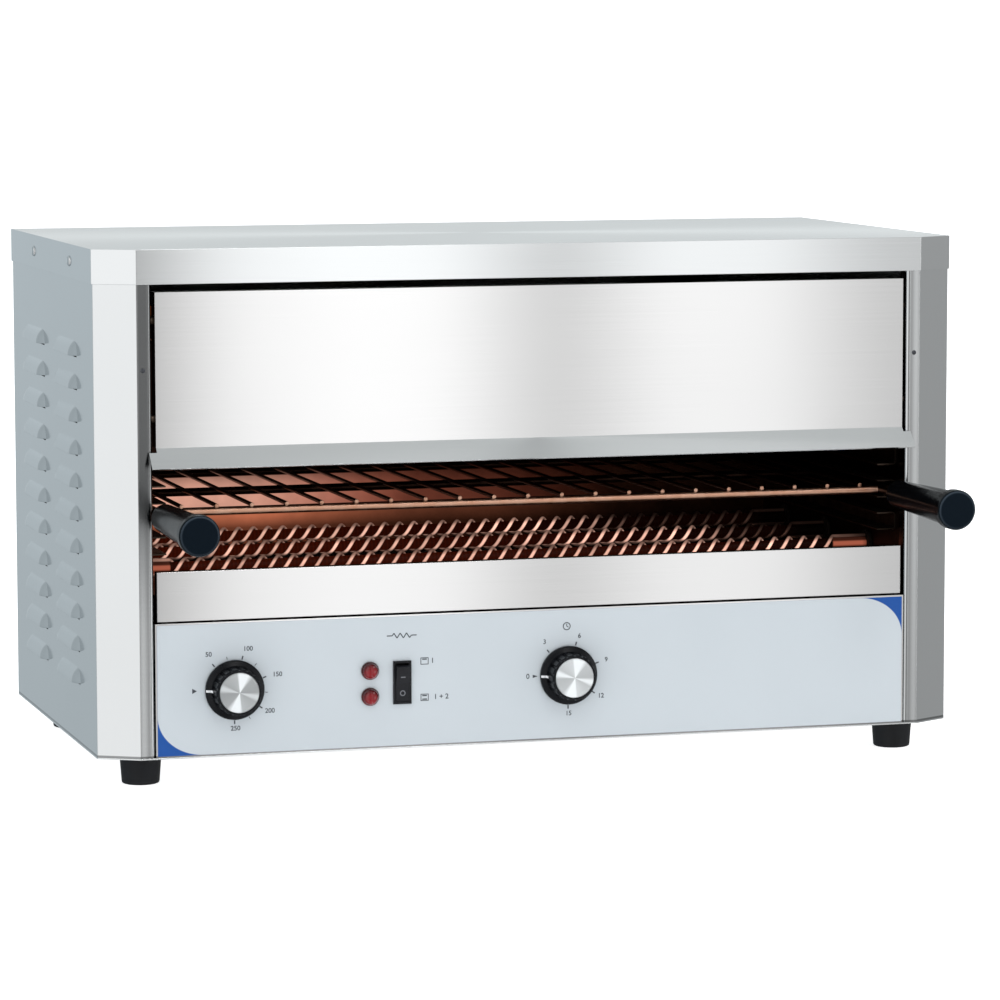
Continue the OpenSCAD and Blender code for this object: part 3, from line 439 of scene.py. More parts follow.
def worn_steel(name, dark, light, rough, scale):
    """Steel with cloudy stains and a fine grain."""
    mat, tree, shader = new_material(name)
    cloud = noise(tree, coords(tree), scale, detail=5, rough=0.6)
    fine = noise(tree, coords(tree), scale * 30)
    dress(shader, {
        "Base Color": mottle(tree, cloud, dark, light),
        "Roughness": vary(tree, cloud, rough + 0.1, rough - 0.06),
        "Metallic": 1,
        "Normal": bump(tree, fine, 0.08, 0.2 * MM),
    })
    return mat


# A step to the back counts as this share of a step to the right, away from the painted light
LIGHT_SLANT = 0.78
# Pitch of the wire wound in a tube, and where its glow ends, from the middle
WOUND_PITCH = 3 * MM
HEATED_END_X = (235 * MM, 265 * MM)
# Bare ends of a tube past the turns of its guard, from the middle: where their painted highlight starts and
# darkens at the bush
BARE_START_X = (252.5 * MM, 253.5 * MM)
BARE_SHADE_X = (276 * MM, 282 * MM)
BARE_END_HIGHLIGHT = (1, 0.26, 0.15, 1)
# Distances from the painted light over which the tubes, their bare ends and the guards get darker
TUBE_REACH = (0, 330 * MM)
BARE_REACH = (340 * MM, 360 * MM)
GUARD_REACH = (270 * MM, 350 * MM)
# Nearer to the painted light the guards first get brighter
GUARD_RISE_REACH = (100 * MM, 250 * MM)


def reach_of_light(tree, x, y):
    """How far a place lies from the painted light that falls in from the left of the front."""
    back = math_node(tree, "SUBTRACT", y, FRONT_Y)
    return math_node(tree, "ADD", x, product(tree, back, LIGHT_SLANT))


def near_crown(tree, z, low, high, out_low, out_high, smooth=False):
    """A number that changes between two heights, in millimetres from the crown of the guards."""
    return between(tree, z, GUARD_CROWN_Z + low * MM, GUARD_CROWN_Z + high * MM, out_low, out_high, smooth)


def bare_end_highlight(tree, from_middle, reach, z, level):
    """Painted highlight that the bare ends of a tube catch, as emission."""
    return product(tree,
                   between(tree, from_middle, *BARE_START_X, 0, level),
                   between(tree, from_middle, *BARE_SHADE_X, 1, 0.15),
                   between(tree, reach, *BARE_REACH, 1, 0),
                   near_crown(tree, z, -1, 0.6, 1, 0.1, True),
                   near_crown(tree, z, -4.2, -2.6, 0.3, 1, True))


def quartz(name, glow, strength, bare_ends=0.0):
    """Heating tube: dull dark quartz with the bands of the wound wire glowing faintly through, dimmed away
    from the painted light, and bare ends with a painted highlight if bare_ends is set."""
    mat, tree, shader = new_material(name)
    x, y, z = axes(tree)
    band = math_node(tree, "SINE", product(tree, x, 2 * math.pi / WOUND_PITCH))
    from_middle = math_node(tree, "ABSOLUTE", x)
    reach = reach_of_light(tree, x, y)
    light = product(tree,
                    between(tree, band, -0.4, 0.9, 0.7, 1),
                    between(tree, from_middle, *HEATED_END_X, 1, 0.02, True),
                    between(tree, reach, *TUBE_REACH, 1, 0.1),
                    strength)
    if bare_ends:
        bare = bare_end_highlight(tree, from_middle, reach, z, bare_ends)
        glow = blend(tree, math_node(tree, "GREATER_THAN", bare, 0.001), glow, BARE_END_HIGHLIGHT)
        light = math_node(tree, "ADD", bare, light)
    cloud = noise(tree, coords(tree), scale=90)
    dress(shader, {
        "Base Color": blend(tree, cloud, (0.003, 0.0015, 0.001, 1), (0.009, 0.004, 0.0025, 1)),
        "Roughness": vary(tree, cloud, 0.5, 0.65),
        "Specular IOR Level": 0.12,
        "Emission Color": glow,
        "Emission Strength": light,
    })
    return mat


def guard_wire():
    """Copper-coloured wire with painted light: front faces glow as if lit, less to the far right, with
    painted shade on the crown.
    """
    mat, tree, shader = new_material("guard_wire")
    x, y, z = axes(tree)
    _, face_y, face_z = facing(tree)
    cloud = noise(tree, coords(tree), scale=130)
    towards = math_node(tree, "SUBTRACT", product(tree, face_z, 0.35), product(tree, face_y, 0.94))
    reach = reach_of_light(tree, x, y)
    glow = product(tree,
                   between(tree, towards, 0.2, 0.95, 0, 1, True),
                   between(tree, reach, *GUARD_REACH, 1, 0.02, True),
                   between(tree, reach, *GUARD_RISE_REACH, 1, 1.45),
                   vary(tree, noise(tree, coords(tree), scale=38, detail=2), 0.45, 1.3),
                   near_crown(tree, z, 0, 3, 1, 0.3),
                   near_crown(tree, z, -7, -5, 0.1, 1),
                   0.95)
    dress(shader, {
        "Base Color": mottle(tree, cloud, (0.2, 0.08, 0.05, 1), (0.34, 0.16, 0.11, 1)),
        "Roughness": vary(tree, cloud, 0.34, 0.46),
        "Metallic": 1,
        "Emission Color": (1, 0.55, 0.42, 1),
        "Emission Strength": glow,
    })
    return mat


# Depth up to which the rack's front faces carry a painted copper highlight
FRONT_HIGHLIGHT_Y = (FRONT_Y + 45 * MM, FRONT_Y + 60 * MM)


def rack_chrome():
    """Chrome: painted copper highlight on the front faces of bars and wire ends, heat-browned along the
    wires.
    """
    mat, tree, shader = new_material("rack_chrome")
    _, y, _ = axes(tree)
    _, face_y, _ = facing(tree)
    cloud = noise(tree, coords(tree), scale=90, detail=4)
    front = product(tree, between(tree, face_y, -0.75, -0.2, 1, 0, True), between(tree, y, *FRONT_HIGHLIGHT_Y, 1, 0))
    front_highlight = mottle(tree, cloud, (0.72, 0.37, 0.24, 1), (0.95, 0.58, 0.42, 1))
    browned = mottle(tree, cloud, (0.02, 0.009, 0.006, 1), (0.055, 0.028, 0.02, 1))
    grain = noise(tree, coords(tree), scale=900, detail=2)
    dress(shader, {
        "Base Color": blend(tree, front, browned, front_highlight),
        "Roughness": vary(tree, cloud, 0.3, 0.4),
        "Metallic": 1,
        "Normal": bump(tree, grain, 0.02, 0.1 * MM, soft_edges(tree, 1.5 * MM)),
    })
    return mat


# Fittings, mouldings and prints

def moulded(name, dark, light, rough, grain=1800, depth=0.1, gloss=0.5):
    """Moulded plastic, rubber or ceramic: fine grain and slight tone changes."""
    mat, tree, shader = new_material(name)
    fine = noise(tree, coords(tree), grain)
    slow = noise(tree, coords(tree), scale=60)
    dress(shader, {
        "Base Color": mottle(tree, slow, dark, light),
        "Roughness": vary(tree, slow, rough - 0.05, rough + 0.07),
        "Specular IOR Level": gloss,
        "Normal": bump(tree, fine, depth, 0.2 * MM),
    })
    return mat


def plated(name, dark, light, rough):
    """Zinc, steel, copper or brass fittings."""
    mat, tree, shader = new_material(name)
    cloud = noise(tree, coords(tree), scale=90, detail=4)
    grain = noise(tree, coords(tree), scale=900, detail=2)
    dress(shader, {
        "Base Color": mottle(tree, cloud, dark, light),
        "Roughness": vary(tree, cloud, rough - 0.05, rough + 0.08),
        "Metallic": 1,
        "Normal": bump(tree, grain, 0.05, 0.2 * MM),
    })
    return mat


# Printed film: its pale ground, the blue of its corners and the half-axes of their arcs
FILM_DARK = (0.474, 0.518, 0.553, 1)
FILM_LIGHT = (0.494, 0.538, 0.573, 1)
FILM_BLUE = (0.0045, 0.067, 0.298, 1)
ARC_X = 33 * MM
ARC_Z = 28 * MM


def overlay_print():
    """Pale printed film with two blue corner fields that end in an arc."""
    mat, tree, shader = new_material("overlay_print")
    x, _, z = axes(tree)
    low, high = box("control_overlay")

    def past_arc(place, side, edge, half_axis):
        from_centre = math_node(tree, "SUBTRACT", place, edge - side * half_axis)
        return math_node(tree, "MAXIMUM", product(tree, from_centre, side / half_axis), 0.0)

    def corner(side, edge_x, edge_z):
        far = square_sum(tree, past_arc(x, side, edge_x, ARC_X), past_arc(z, side, edge_z, ARC_Z))
        return between(tree, far, 0.99, 1.01, 0, 1)

    blue = math_node(tree, "MAXIMUM", corner(-1, low.x, low.z), corner(1, high.x, high.z))
    cloud = noise(tree, coords(tree), scale=9, detail=2)
    grain = noise(tree, coords(tree), scale=1500, detail=2)
    dress(shader, {
        "Base Color": blend(tree, blue, mottle(tree, cloud, FILM_DARK, FILM_LIGHT), FILM_BLUE),
        "Roughness": vary(tree, cloud, 0.4, 0.48),
        "Specular IOR Level": 0.3,
        "Normal": bump(tree, grain, 0.05, 0.1 * MM),
    })
    return mat


# Painted reflection round a turned cap, the sectors of a spun face: (share of half a turn from the top,
# level), and its tint
SPUN = [(0, 0.93), (0.15, 0.93), (0.24, 0.4), (0.5, 0.36), (0.56, 0.66), (0.61, 0.66), (0.67, 0.4),
        (0.95, 0.5), (0.985, 0.88), (1, 0.93)]
SPUN_TINT = (0.96, 1, 1.02)
SPUN_MAX = 0.95
RINGS_PER_METRE = 9000.0


def spun_cap(name, centre, lift=1.0):
    """Turned aluminium: fine rings round the knob's axis and the bright sectors of a spun face, as painted
    reflection.
    """
    mat, tree, shader = new_material(name)
    x, _, z = axes(tree)
    dx = math_node(tree, "SUBTRACT", x, centre)
    dz = math_node(tree, "SUBTRACT", z, CONTROL_Z)
    clock = math_node(tree, "DIVIDE", math_node(tree, "ARCTAN2", dx, dz), math.pi)
    half_turn = math_node(tree, "FRACT", math_node(tree, "ADD", clock, 1.0))
    outwards = product(tree, distance(tree, dx, dz), RINGS_PER_METRE)
    rings = noise(tree, vector_along_x(tree, outwards), detail=2)
    tones = [(at, grey(min(level * lift, SPUN_MAX), SPUN_TINT)) for at, level in SPUN]
    dress(shader, {
        "Base Color": shade_of(tree, ramp(tree, half_turn, tones), mottle(tree, rings, grey(0.93), grey(1))),
        "Roughness": between(tree, rings, 0.2, 0.8, 0.26, 0.34),
        "Metallic": 0.4,
        "Normal": bump(tree, rings, 0.04, 0.05 * MM),
    })
    return mat


# Painted light in a lamp's dome, a lighter heart: how far it lies under the lens's middle, and where it fades
HEART_DROP = 1.4 * MM
HEART_FADE = (2.4 * MM, 7.4 * MM)


def lamp_lens():
    """Red moulded dome: painted light in a heart below the middle, painted shade towards the rim, slightly
    uneven.
    """
    mat, tree, shader = new_material("lamp_red")
    x, _, z = axes(tree)
    dx = math_node(tree, "SUBTRACT", x, LAMP_X)
    from_controls = math_node(tree, "SUBTRACT", z, CONTROL_Z)
    own_lamp = product(tree, math_node(tree, "SIGN", from_controls), LAMP_RISE)
    dz = math_node(tree, "ADD", math_node(tree, "SUBTRACT", from_controls, own_lamp), HEART_DROP)
    uneven = noise(tree, coords(tree), scale=300)
    lit_heart = product(tree, between(tree, distance(tree, dx, dz), *HEART_FADE, 1, 0, True),
                    vary(tree, uneven, 0.8, 1.1))
    dress(shader, {
        "Base Color": blend(tree, lit_heart, (0.035, 0.001, 0.002, 1), (0.2, 0.006, 0.01, 1)),
        "Roughness": vary(tree, uneven, 0.1, 0.16),
        "Specular IOR Level": 0.3,
        "Coat Weight": 0.6,
        "Coat Roughness": 0.05,
        "Normal": bump(tree, uneven, 0.03, 0.2 * MM),
    })
    return mat


# White paint in a knob's groove, also a painted glint: half its width, and its inner and outer end from the
# knob's axis
GROOVE_HALF = 0.82 * MM
GROOVE_IN = 17.2 * MM
GROOVE_OUT = 21 * MM


def knob_black():
    """Black moulding with white paint in the pointer's groove, which also stands as a painted glint."""
    mat, tree, shader = new_material("knob_black")
    x, _, z = axes(tree)
    off_level = math_node(tree, "ABSOLUTE", math_node(tree, "SUBTRACT", z, CONTROL_Z))

    def groove(centre):
        out = math_node(tree, "SUBTRACT", centre, x)
        return product(tree, math_node(tree, "GREATER_THAN", out, GROOVE_IN),
                       math_node(tree, "LESS_THAN", out, GROOVE_OUT))

    paint_and_glint = product(tree, math_node(tree, "LESS_THAN", off_level, GROOVE_HALF),
                    math_node(tree, "MAXIMUM", groove(THERMOSTAT_X), groove(TIMER_X)))
    slow = noise(tree, coords(tree), scale=60)
    black = mottle(tree, slow, (0.003, 0.0035, 0.005, 1), (0.006, 0.007, 0.009, 1))
    dress(shader, {
        "Base Color": blend(tree, paint_and_glint, black, (0.8, 0.81, 0.83, 1)),
        "Roughness": vary(tree, slow, 0.2, 0.28),
        "Specular IOR Level": 0.2,
        "Normal": bump(tree, noise(tree, coords(tree), scale=1500), 0.03, 0.2 * MM),
    })
    return mat


# Painted highlight on the rim round the end of a handle, lighter at the top, in shares of its radius
RIM = (0.83, 0.9)
END_DEPTH = 0.5 * MM


def handle_black():
    """Glossy black bar with a duller face at its front end, and a painted highlight on the rim round that
    face.
    """
    mat, tree, shader = new_material("handle_black")
    x, y, z = axes(tree)
    end = math_node(tree, "LESS_THAN", y, HANDLE_TIP_Y + END_DEPTH)
    dx = math_node(tree, "SUBTRACT", math_node(tree, "ABSOLUTE", x), HANDLE_X)
    dz = math_node(tree, "SUBTRACT", z, HANDLE_Z)
    rim_highlight = product(tree,
                  between(tree, distance(tree, dx, dz), RIM[0] * HANDLE_R, RIM[1] * HANDLE_R, 0, 1, True),
                  between(tree, dz, -HANDLE_R, HANDLE_R, 0.25, 1))
    face = blend(tree, rim_highlight, (0.0008, 0.0018, 0.0055, 1), (0.032, 0.04, 0.052, 1))
    slow = noise(tree, coords(tree), scale=60)
    grain = noise(tree, coords(tree), scale=1500)
    dress(shader, {
        "Base Color": blend(tree, end, (0.002, 0.0022, 0.0028, 1), face),
        "Roughness": math_node(tree, "ADD", vary(tree, slow, 0.17, 0.23), product(tree, end, 0.4)),
        "Specular IOR Level": 0.2,
        "Specular Tint": (0.5, 0.82, 1, 1),
        "Normal": bump(tree, grain, 0.04, 0.2 * MM, soft_edges(tree, 2 * MM)),
    })
    return mat


def ink(name, colour):
    """Screen print: slightly uneven ink."""
    mat, tree, shader = new_material(name)
    uneven = noise(tree, coords(tree), scale=2200)
    light = tuple(min(1, c * 1.5 + 0.01) for c in colour[:3]) + (1,)
    dress(shader, {
        "Base Color": blend(tree, uneven, colour, light),
        "Roughness": between(tree, uneven, 0.2, 0.8, 0.4, 0.55),
    })
    return mat


# All materials, and the CAD nodes that wear them

COOL = (0.965, 0.99, 1.0)
MATERIALS = {
    "cover_steel": brushed_steel("cover_steel", 0.77, 0.11, COOL),
    "side_steel": brushed_steel("side_steel", 0.75, 0.14, COOL, posts=True, shade_from=FRONT_Y + 2.2 * MM),
    "rear_steel": brushed_steel("rear_steel", 0.75, 0.14, COOL),
    "plain_steel": brushed_steel("plain_steel", 0.77, 0.11, shade_from=FRONT_Y + 2.6 * MM, fold=SHARP_FOLD),
    "tray_steel": tray_steel(),
    # The side linings, roof and shelf are near black: painted shade over heat stain
    "liner_steel": lining("liner_steel", (0.006, 0.003, 0.002, 1), (0.02, 0.01, 0.007, 1)),
    # The back liner glows with painted light from the tubes
    "back_steel": lining("back_steel", (0.06, 0.024, 0.014, 1), (0.14, 0.055, 0.03, 1), glow=0.46),
    # The runners and hood screws are dark: painted shade inside the mouth over worn steel
    "runner_steel": worn_steel("runner_steel", (0.04, 0.028, 0.02, 1), (0.12, 0.09, 0.07, 1), 0.4, 60),
    "rack_chrome": rack_chrome(),
    "guard_wire": guard_wire(),
    "zinc_steel": plated("zinc_steel", (0.5, 0.51, 0.53, 1), (0.68, 0.69, 0.7, 1), 0.3),
    "rivet_steel": plated("rivet_steel", (0.06, 0.065, 0.075, 1), (0.12, 0.125, 0.14, 1), 0.35),
    "terminal_brass": plated("terminal_brass", (0.5, 0.36, 0.14, 1), (0.7, 0.53, 0.24, 1), 0.28),
    "capillary_copper": plated("capillary_copper", (0.5, 0.23, 0.13, 1), (0.72, 0.38, 0.24, 1), 0.3),
    "overlay_print": overlay_print(),
    "quartz_lower": quartz("quartz_lower", (1, 0.1, 0.02, 1), 0.036, bare_ends=0.38),
    "quartz_upper": quartz("quartz_upper", (1, 0.3, 0.1, 1), 0.12),
    # The ceramic bushes are near black: painted shade at the ends of the mouth
    "bush_ceramic": moulded("bush_ceramic", (0.008, 0.005, 0.004, 1), (0.02, 0.014, 0.01, 1), 0.8,
                            grain=900, gloss=0.2),
    "control_body": moulded("control_body", (0.3, 0.27, 0.22, 1), (0.42, 0.38, 0.32, 1), 0.5),
    "switch_black": moulded("switch_black", (0.007, 0.0075, 0.01, 1), (0.013, 0.014, 0.018, 1), 0.34,
                            gloss=0.3),
    "terminal_nylon": moulded("terminal_nylon", (0.6, 0.59, 0.55, 1), (0.74, 0.73, 0.69, 1), 0.5),
    "gland_nylon": moulded("gland_nylon", (0.014, 0.015, 0.017, 1), (0.03, 0.031, 0.034, 1), 0.45),
    "foot_rubber": moulded("foot_rubber", (0.004, 0.0045, 0.006, 1), (0.008, 0.009, 0.012, 1), 0.6,
                           grain=1200, depth=0.2, gloss=0.3),
    "handle_black": handle_black(),
    "knob_black": knob_black(),
    "thermostat_aluminium": spun_cap("thermostat_aluminium", THERMOSTAT_X),
    # The timer's painted reflection is lighter than the thermostat's
    "timer_aluminium": spun_cap("timer_aluminium", TIMER_X, lift=1.35),
    "lamp_red": lamp_lens(),
    "print_ink": ink("print_ink", (0.03, 0.035, 0.045, 1)),
    "grey_ink": ink("grey_ink", (0.11, 0.115, 0.13, 1)),
}

LOOKS = {
    "cover_steel": ["top_cover"],
    "side_steel": ["left_side_panel", "right_side_panel"],
    "rear_steel": ["back_panel", "base_plate", "cover_screws"],
    "plain_steel": ["hood_panel", "control_panel"],
    "tray_steel": ["crumb_tray"],
    "liner_steel": ["left_liner", "right_liner", "roof_reflector", "shelf_plate"],
    "back_steel": ["back_liner"],
    "runner_steel": ["left_runners", "right_runners", "hood_screws"],
    "rack_chrome": ["rack_grid"],
    "guard_wire": ["lower_guard_1", "lower_guard_2", "lower_guard_3"],
    "zinc_steel": ["control_nuts", "lamp_nuts", "foot_screws", "foot_nuts", "back_screws", "bulb_clips",
                   "thermostat_shaft", "timer_shaft"],
    "rivet_steel": ["post_rivets"],
    "terminal_brass": ["terminal_pins"],
    "capillary_copper": ["capillary_tube", "thermostat_bulb"],
    "overlay_print": ["control_overlay"],
    "quartz_lower": ["lower_tube_1", "lower_tube_2", "lower_tube_3"],
    "quartz_upper": ["upper_tube_1", "upper_tube_2", "upper_tube_3"],
    "bush_ceramic": ["element_bushes"],
    "control_body": ["thermostat_body", "timer_body"],
    "switch_black": ["switch_housing", "rocker"],
    "terminal_nylon": ["terminal_block"],
    "gland_nylon": ["cable_gland", "gland_nut"],
    "foot_rubber": ["front_left_foot", "front_right_foot", "rear_left_foot", "rear_right_foot"],
    "handle_black": ["left_handle", "right_handle"],
    "knob_black": ["thermostat_knob", "timer_knob"],
    "thermostat_aluminium": ["thermostat_cap"],
    "timer_aluminium": ["timer_cap"],
    "lamp_red": ["upper_lamp", "lower_lamp"],
}


def wear(obj, material):
    obj.data.materials.clear()
    obj.data.materials.append(MATERIALS[material])


for look, names in LOOKS.items():
    for name in names:
        wear(NODES[name], look)


# Pieces

def add(name, data):
    """An object in the scene."""
    obj = bpy.data.objects.new(name, data)
    bpy.context.scene.collection.objects.link(obj)
    return obj


def piece(name, mesh, material, body):
    """A visible piece that rides on a body."""
    obj = add(name, mesh)
    wear(obj, material)
    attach(obj, body)
    return obj


def mesh_of(name, bm):
    mesh = bpy.data.meshes.new(name)
    bmesh.ops.recalc_face_normals(bm, faces=bm.faces)
    bm.to_mesh(mesh)
    bm.free()
    return mesh


def tube_along(bm, points, radius, sides=8):
    """Adds a round wire through points, with smooth sides."""
    rings = []
    side = Vector((0, 1, 0))
    for i, p in enumerate(points):
        along = (points[min(i + 1, len(points) - 1)] - points[max(i - 1, 0)]).normalized()
        side = (side - along * side.dot(along)).normalized()
        across = along.cross(side)
        rings.append([bm.verts.new(p + radius * (math.cos(a) * side + math.sin(a) * across))
                      for a in (2 * math.pi * k / sides for k in range(sides))])
    for a, b in zip(rings, rings[1:]):
        for k in range(sides):
            bm.faces.new((a[k], a[(k + 1) % sides], b[(k + 1) % sides], b[k])).smooth = True
    bm.faces.new(rings[0][::-1])
    bm.faces.new(rings[-1])


# Wire guards, each of two wires wound side by side: the CAD's have one thinner wire and fewer turns

GUARD_WIRES = 2
GUARD_TURNS = 22
GUARD_WIRE_R = 1.4 * MM
GUARD_R = 5.45 * MM
GUARD_STEPS = 18
GUARD_TAIL = 26 * MM


def guard_wire_line(half, tail_end, start):
    """One wire: a straight tail along the tube, the turns, and the other tail."""
    pitch = 2 * half / GUARD_TURNS
    line = []
    for k in range(GUARD_TURNS * GUARD_STEPS + 1):
        x = -half + k * pitch / GUARD_STEPS
        turn = start - 2 * math.pi * x / pitch
        line.append(Vector((x, GUARD_R * math.cos(turn), GUARD_R * math.sin(turn))))
    for end, sign in ((line[0], -1), (line[-1], 1)):
        tail = [Vector((sign * x, end.y, end.z)) for x in (half + pitch / 6, tail_end)]
        line = line + tail if sign > 0 else tail[::-1] + line
    return line


def guard_coil(number):
    """The guard of one lower tube, in place of the CAD's."""
    centre = middle(f"lower_tube_{number}")
    tail_end = box(f"lower_guard_{number}")[1].x
    bm = bmesh.new()
    for wire in range(GUARD_WIRES):
        line = guard_wire_line(tail_end - GUARD_TAIL, tail_end, math.pi * (0.5 + wire))
        tube_along(bm, [centre + p for p in line], GUARD_WIRE_R)
    name = f"guard_coil_{number}"
    coil = piece(name, mesh_of(name, bm), "guard_wire", "cabinet")
    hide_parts(f"lower_guard_{number}")


for number in (1, 2, 3):
    guard_coil(number)


# Prints

INK_T = 0.04 * MM
# Numbers get bolder by a bevel of this size, pressed flat
BOLD = 0.09 * MM
# Height of a figure as a share of the font's size
FIGURE_SHARE = 0.7


class Print:
    """Flat ink shapes on the front, in millimetres from a centre, joined into one mesh."""

    def __init__(self, cx, cz, y):
        self.bm = bmesh.new()
        self.cx, self.cz, self.y = cx, cz, y

    def spot(self, place, lift):
        """A place on the print, lifted from the surface."""
        return Vector((self.cx + place[0] * MM, self.y - lift, self.cz + place[1] * MM))

    def shape(self, points):
        front = [self.bm.verts.new(self.spot(p, INK_T)) for p in points]
        back = [self.bm.verts.new(self.spot(p, 0)) for p in points]
        self.bm.faces.new(front)
        self.bm.faces.new(back[::-1])
        n = len(points)
        for k in range(n):
            self.bm.faces.new((front[k], back[k], back[(k + 1) % n], front[(k + 1) % n]))

    def line(self, a, b, width):
        a, b = Vector(a), Vector(b)
        side = Vector((-(b - a).y, (b - a).x)).normalized() * width / 2
        self.shape([a + side, a - side, b - side, b + side])

    def tick(self, clock, inner, outer, width):
        """A line that points to the centre, at degrees of the clock."""
        c = math.radians(clock)
        way = Vector((math.sin(c), math.cos(c)))
        self.line(way * inner, way * outer, width)

    def ring(self, centre, radius, width, count=32):
        centre = Vector(centre)
        spokes = [Vector((math.cos(a), math.sin(a)))
                  for a in (2 * math.pi * k / count for k in range(count + 1))]
        inner, outer = radius - width / 2, radius + width / 2
        for a, b in zip(spokes, spokes[1:]):
            self.shape([centre + outer * a, centre + inner * a, centre + inner * b, centre + outer * b])

    def number(self, text, place, height=3.3):
        curve = bpy.data.curves.new("number", "FONT")
        curve.body = text
        curve.size = height * MM / FIGURE_SHARE
        curve.align_x = "CENTER"
        curve.align_y = "CENTER"
        curve.bevel_depth = BOLD
        curve.bevel_resolution = 0
        holder = bpy.data.objects.new("number", curve)
        mesh = bpy.data.meshes.new_from_object(holder)
        mesh.transform(Matrix.Diagonal((1, 1, INK_T / (2 * BOLD), 1)))
        upright = Matrix.Rotation(math.pi / 2, 4, "X")
        mesh.transform(Matrix.Translation(self.spot(place, INK_T / 2)) @ upright)
        self.bm.from_mesh(mesh)
        bpy.data.meshes.remove(mesh)
        bpy.data.objects.remove(holder)
        bpy.data.curves.remove(curve)

    def done(self, name, material, body, slot):
        return piece(name, mesh_of(name, self.bm), material, body)


# Dials: degrees of the clock of their ticks, and each tick's inner and outer radius and width
MAJOR = (-40, 15, 70, 125, 180)
MINOR = (-13, 42, 97, 152)
MAJOR_TICK = (21.9, 24.6, 1.0)
MINOR_TICK = (22.2, 24.2, 0.55)
TEMPERATURES = [("50", (-18.4, 25.6)), ("100", (10.1, 28.7)), ("150", (31.2, 9.6)), ("200", (25.6, -16.2)),
                ("250", (0.6, -27.7))]
MINUTES = [("3", (-17.6, 24.6)), ("6", (8.6, 28)), ("9", (28.8, 10)), ("12", (24.8, -16.2)),
           ("15", (0.4, -28))]
START_POINTER = [(-30.4, 1.9), (-30.4, -1.9), (-27, 0)]
OFF_POINTER = [(-26.6, 1.2), (-26.6, -1.2), (-22.6, 0)]
OFF_PLACE = (-30.2, 0)
BIG_FIGURE = 3.6
# Clock over the timer: its centre, radius and hands
CLOCK_CENTRE = (-1, 35.4)
CLOCK_R = 2.6
CLOCK_RIM = 0.7
CLOCK_HANDS = [(-1, 37.2), (0.4, 34.6)]
HAND_W = 0.6


def dial_marks(centre_x, numbers):
    """A dial's main ticks and numbers."""
    dial = Print(centre_x, CONTROL_Z, OVERLAY_Y)
    for clock, (text, place) in zip(MAJOR, numbers):
        dial.tick(clock, *MAJOR_TICK)
        dial.number(text, place)
    return dial


def thermostat_print():
    dial = dial_marks(THERMOSTAT_X, TEMPERATURES)
    for clock in MINOR:
        dial.tick(clock, *MINOR_TICK)
    dial.shape(START_POINTER)
    dial.done("thermostat_dial_print", "print_ink", "cabinet", "overlay_print")


def timer_print():
    dial = dial_marks(TIMER_X, MINUTES)
    dial.shape(OFF_POINTER)
    dial.number("0", OFF_PLACE, BIG_FIGURE)
    dial.ring(CLOCK_CENTRE, CLOCK_R, CLOCK_RIM)
    for hand in CLOCK_HANDS:
        dial.line(CLOCK_CENTRE, hand, HAND_W)
    dial.done("timer_dial_print", "print_ink", "cabinet", "overlay_print")


# Over the switch: a zig-zag for a heating element
ELEMENT_SIGN = [(-11, 33.6), (-7, 33.6), (-5.8, 35.4), (-3.5, 31.8), (-1.2, 35.4), (1.2, 31.8), (3.5, 35.4),
                (5.8, 31.8), (7, 33.6), (11, 33.6)]
ELEMENT_LINE = 0.75
# Beside it: a cavity with the upper element lit, and one with both, as (height, number, elements' heights)
CAVITY_SIGNS = [(14.6, "1", (1.3,)), (-11.6, "1 + 2", (1.3, -1.3))]
CAVITY_LEFT = 14
CAVITY_RIGHT = 19.4
CAVITY_RISE = 2.3
CAVITY_LINE = 0.55
CAVITY_CORNER = 0.25
BAR_INSET = 1
BAR_LINE = 0.9
SIGN_GAP = 3.2
LETTER_STEP = 1.6


def switch_print():
    marks = Print(SWITCH_X, CONTROL_Z, OVERLAY_Y)
    for a, b in zip(ELEMENT_SIGN, ELEMENT_SIGN[1:]):
        marks.line(a, b, ELEMENT_LINE)
    for v, text, bars in CAVITY_SIGNS:
        for u in (CAVITY_LEFT, CAVITY_RIGHT):
            marks.line((u, v - CAVITY_RISE), (u, v + CAVITY_RISE), CAVITY_LINE)
        for rise in (CAVITY_RISE, -CAVITY_RISE):
            marks.line((CAVITY_LEFT - CAVITY_CORNER, v + rise), (CAVITY_RIGHT + CAVITY_CORNER, v + rise),
                       CAVITY_LINE)
        for rise in bars:
            marks.line((CAVITY_LEFT + BAR_INSET, v + rise), (CAVITY_RIGHT - BAR_INSET, v + rise), BAR_LINE)
        text_u = CAVITY_RIGHT + SIGN_GAP + LETTER_STEP * (len(text) - 1)
        marks.number(text, (text_u, v), BIG_FIGURE)
    marks.done("switch_print", "print_ink", "cabinet", "overlay_print")


# Rocker: a ring on its lower face, which is level at rest, and a bar on its upper face, which leans out
ROCKER_LEAN = math.radians(20)
# From the housing's front back to the rocker's axis, from there out to the ridge between its two faces,
# and how far that ridge lies under the axis at rest
AXIS_DEPTH = 2.6 * MM
FACE_REACH = 3.152 * MM
RIDGE_DROP = 0.556 * MM
RING_PLACE = (0, -7.6)
RING_R = 1.7
RING_W = 0.7
BAR_ENDS = ((-1.6, 4.4), (1.6, 4.4))


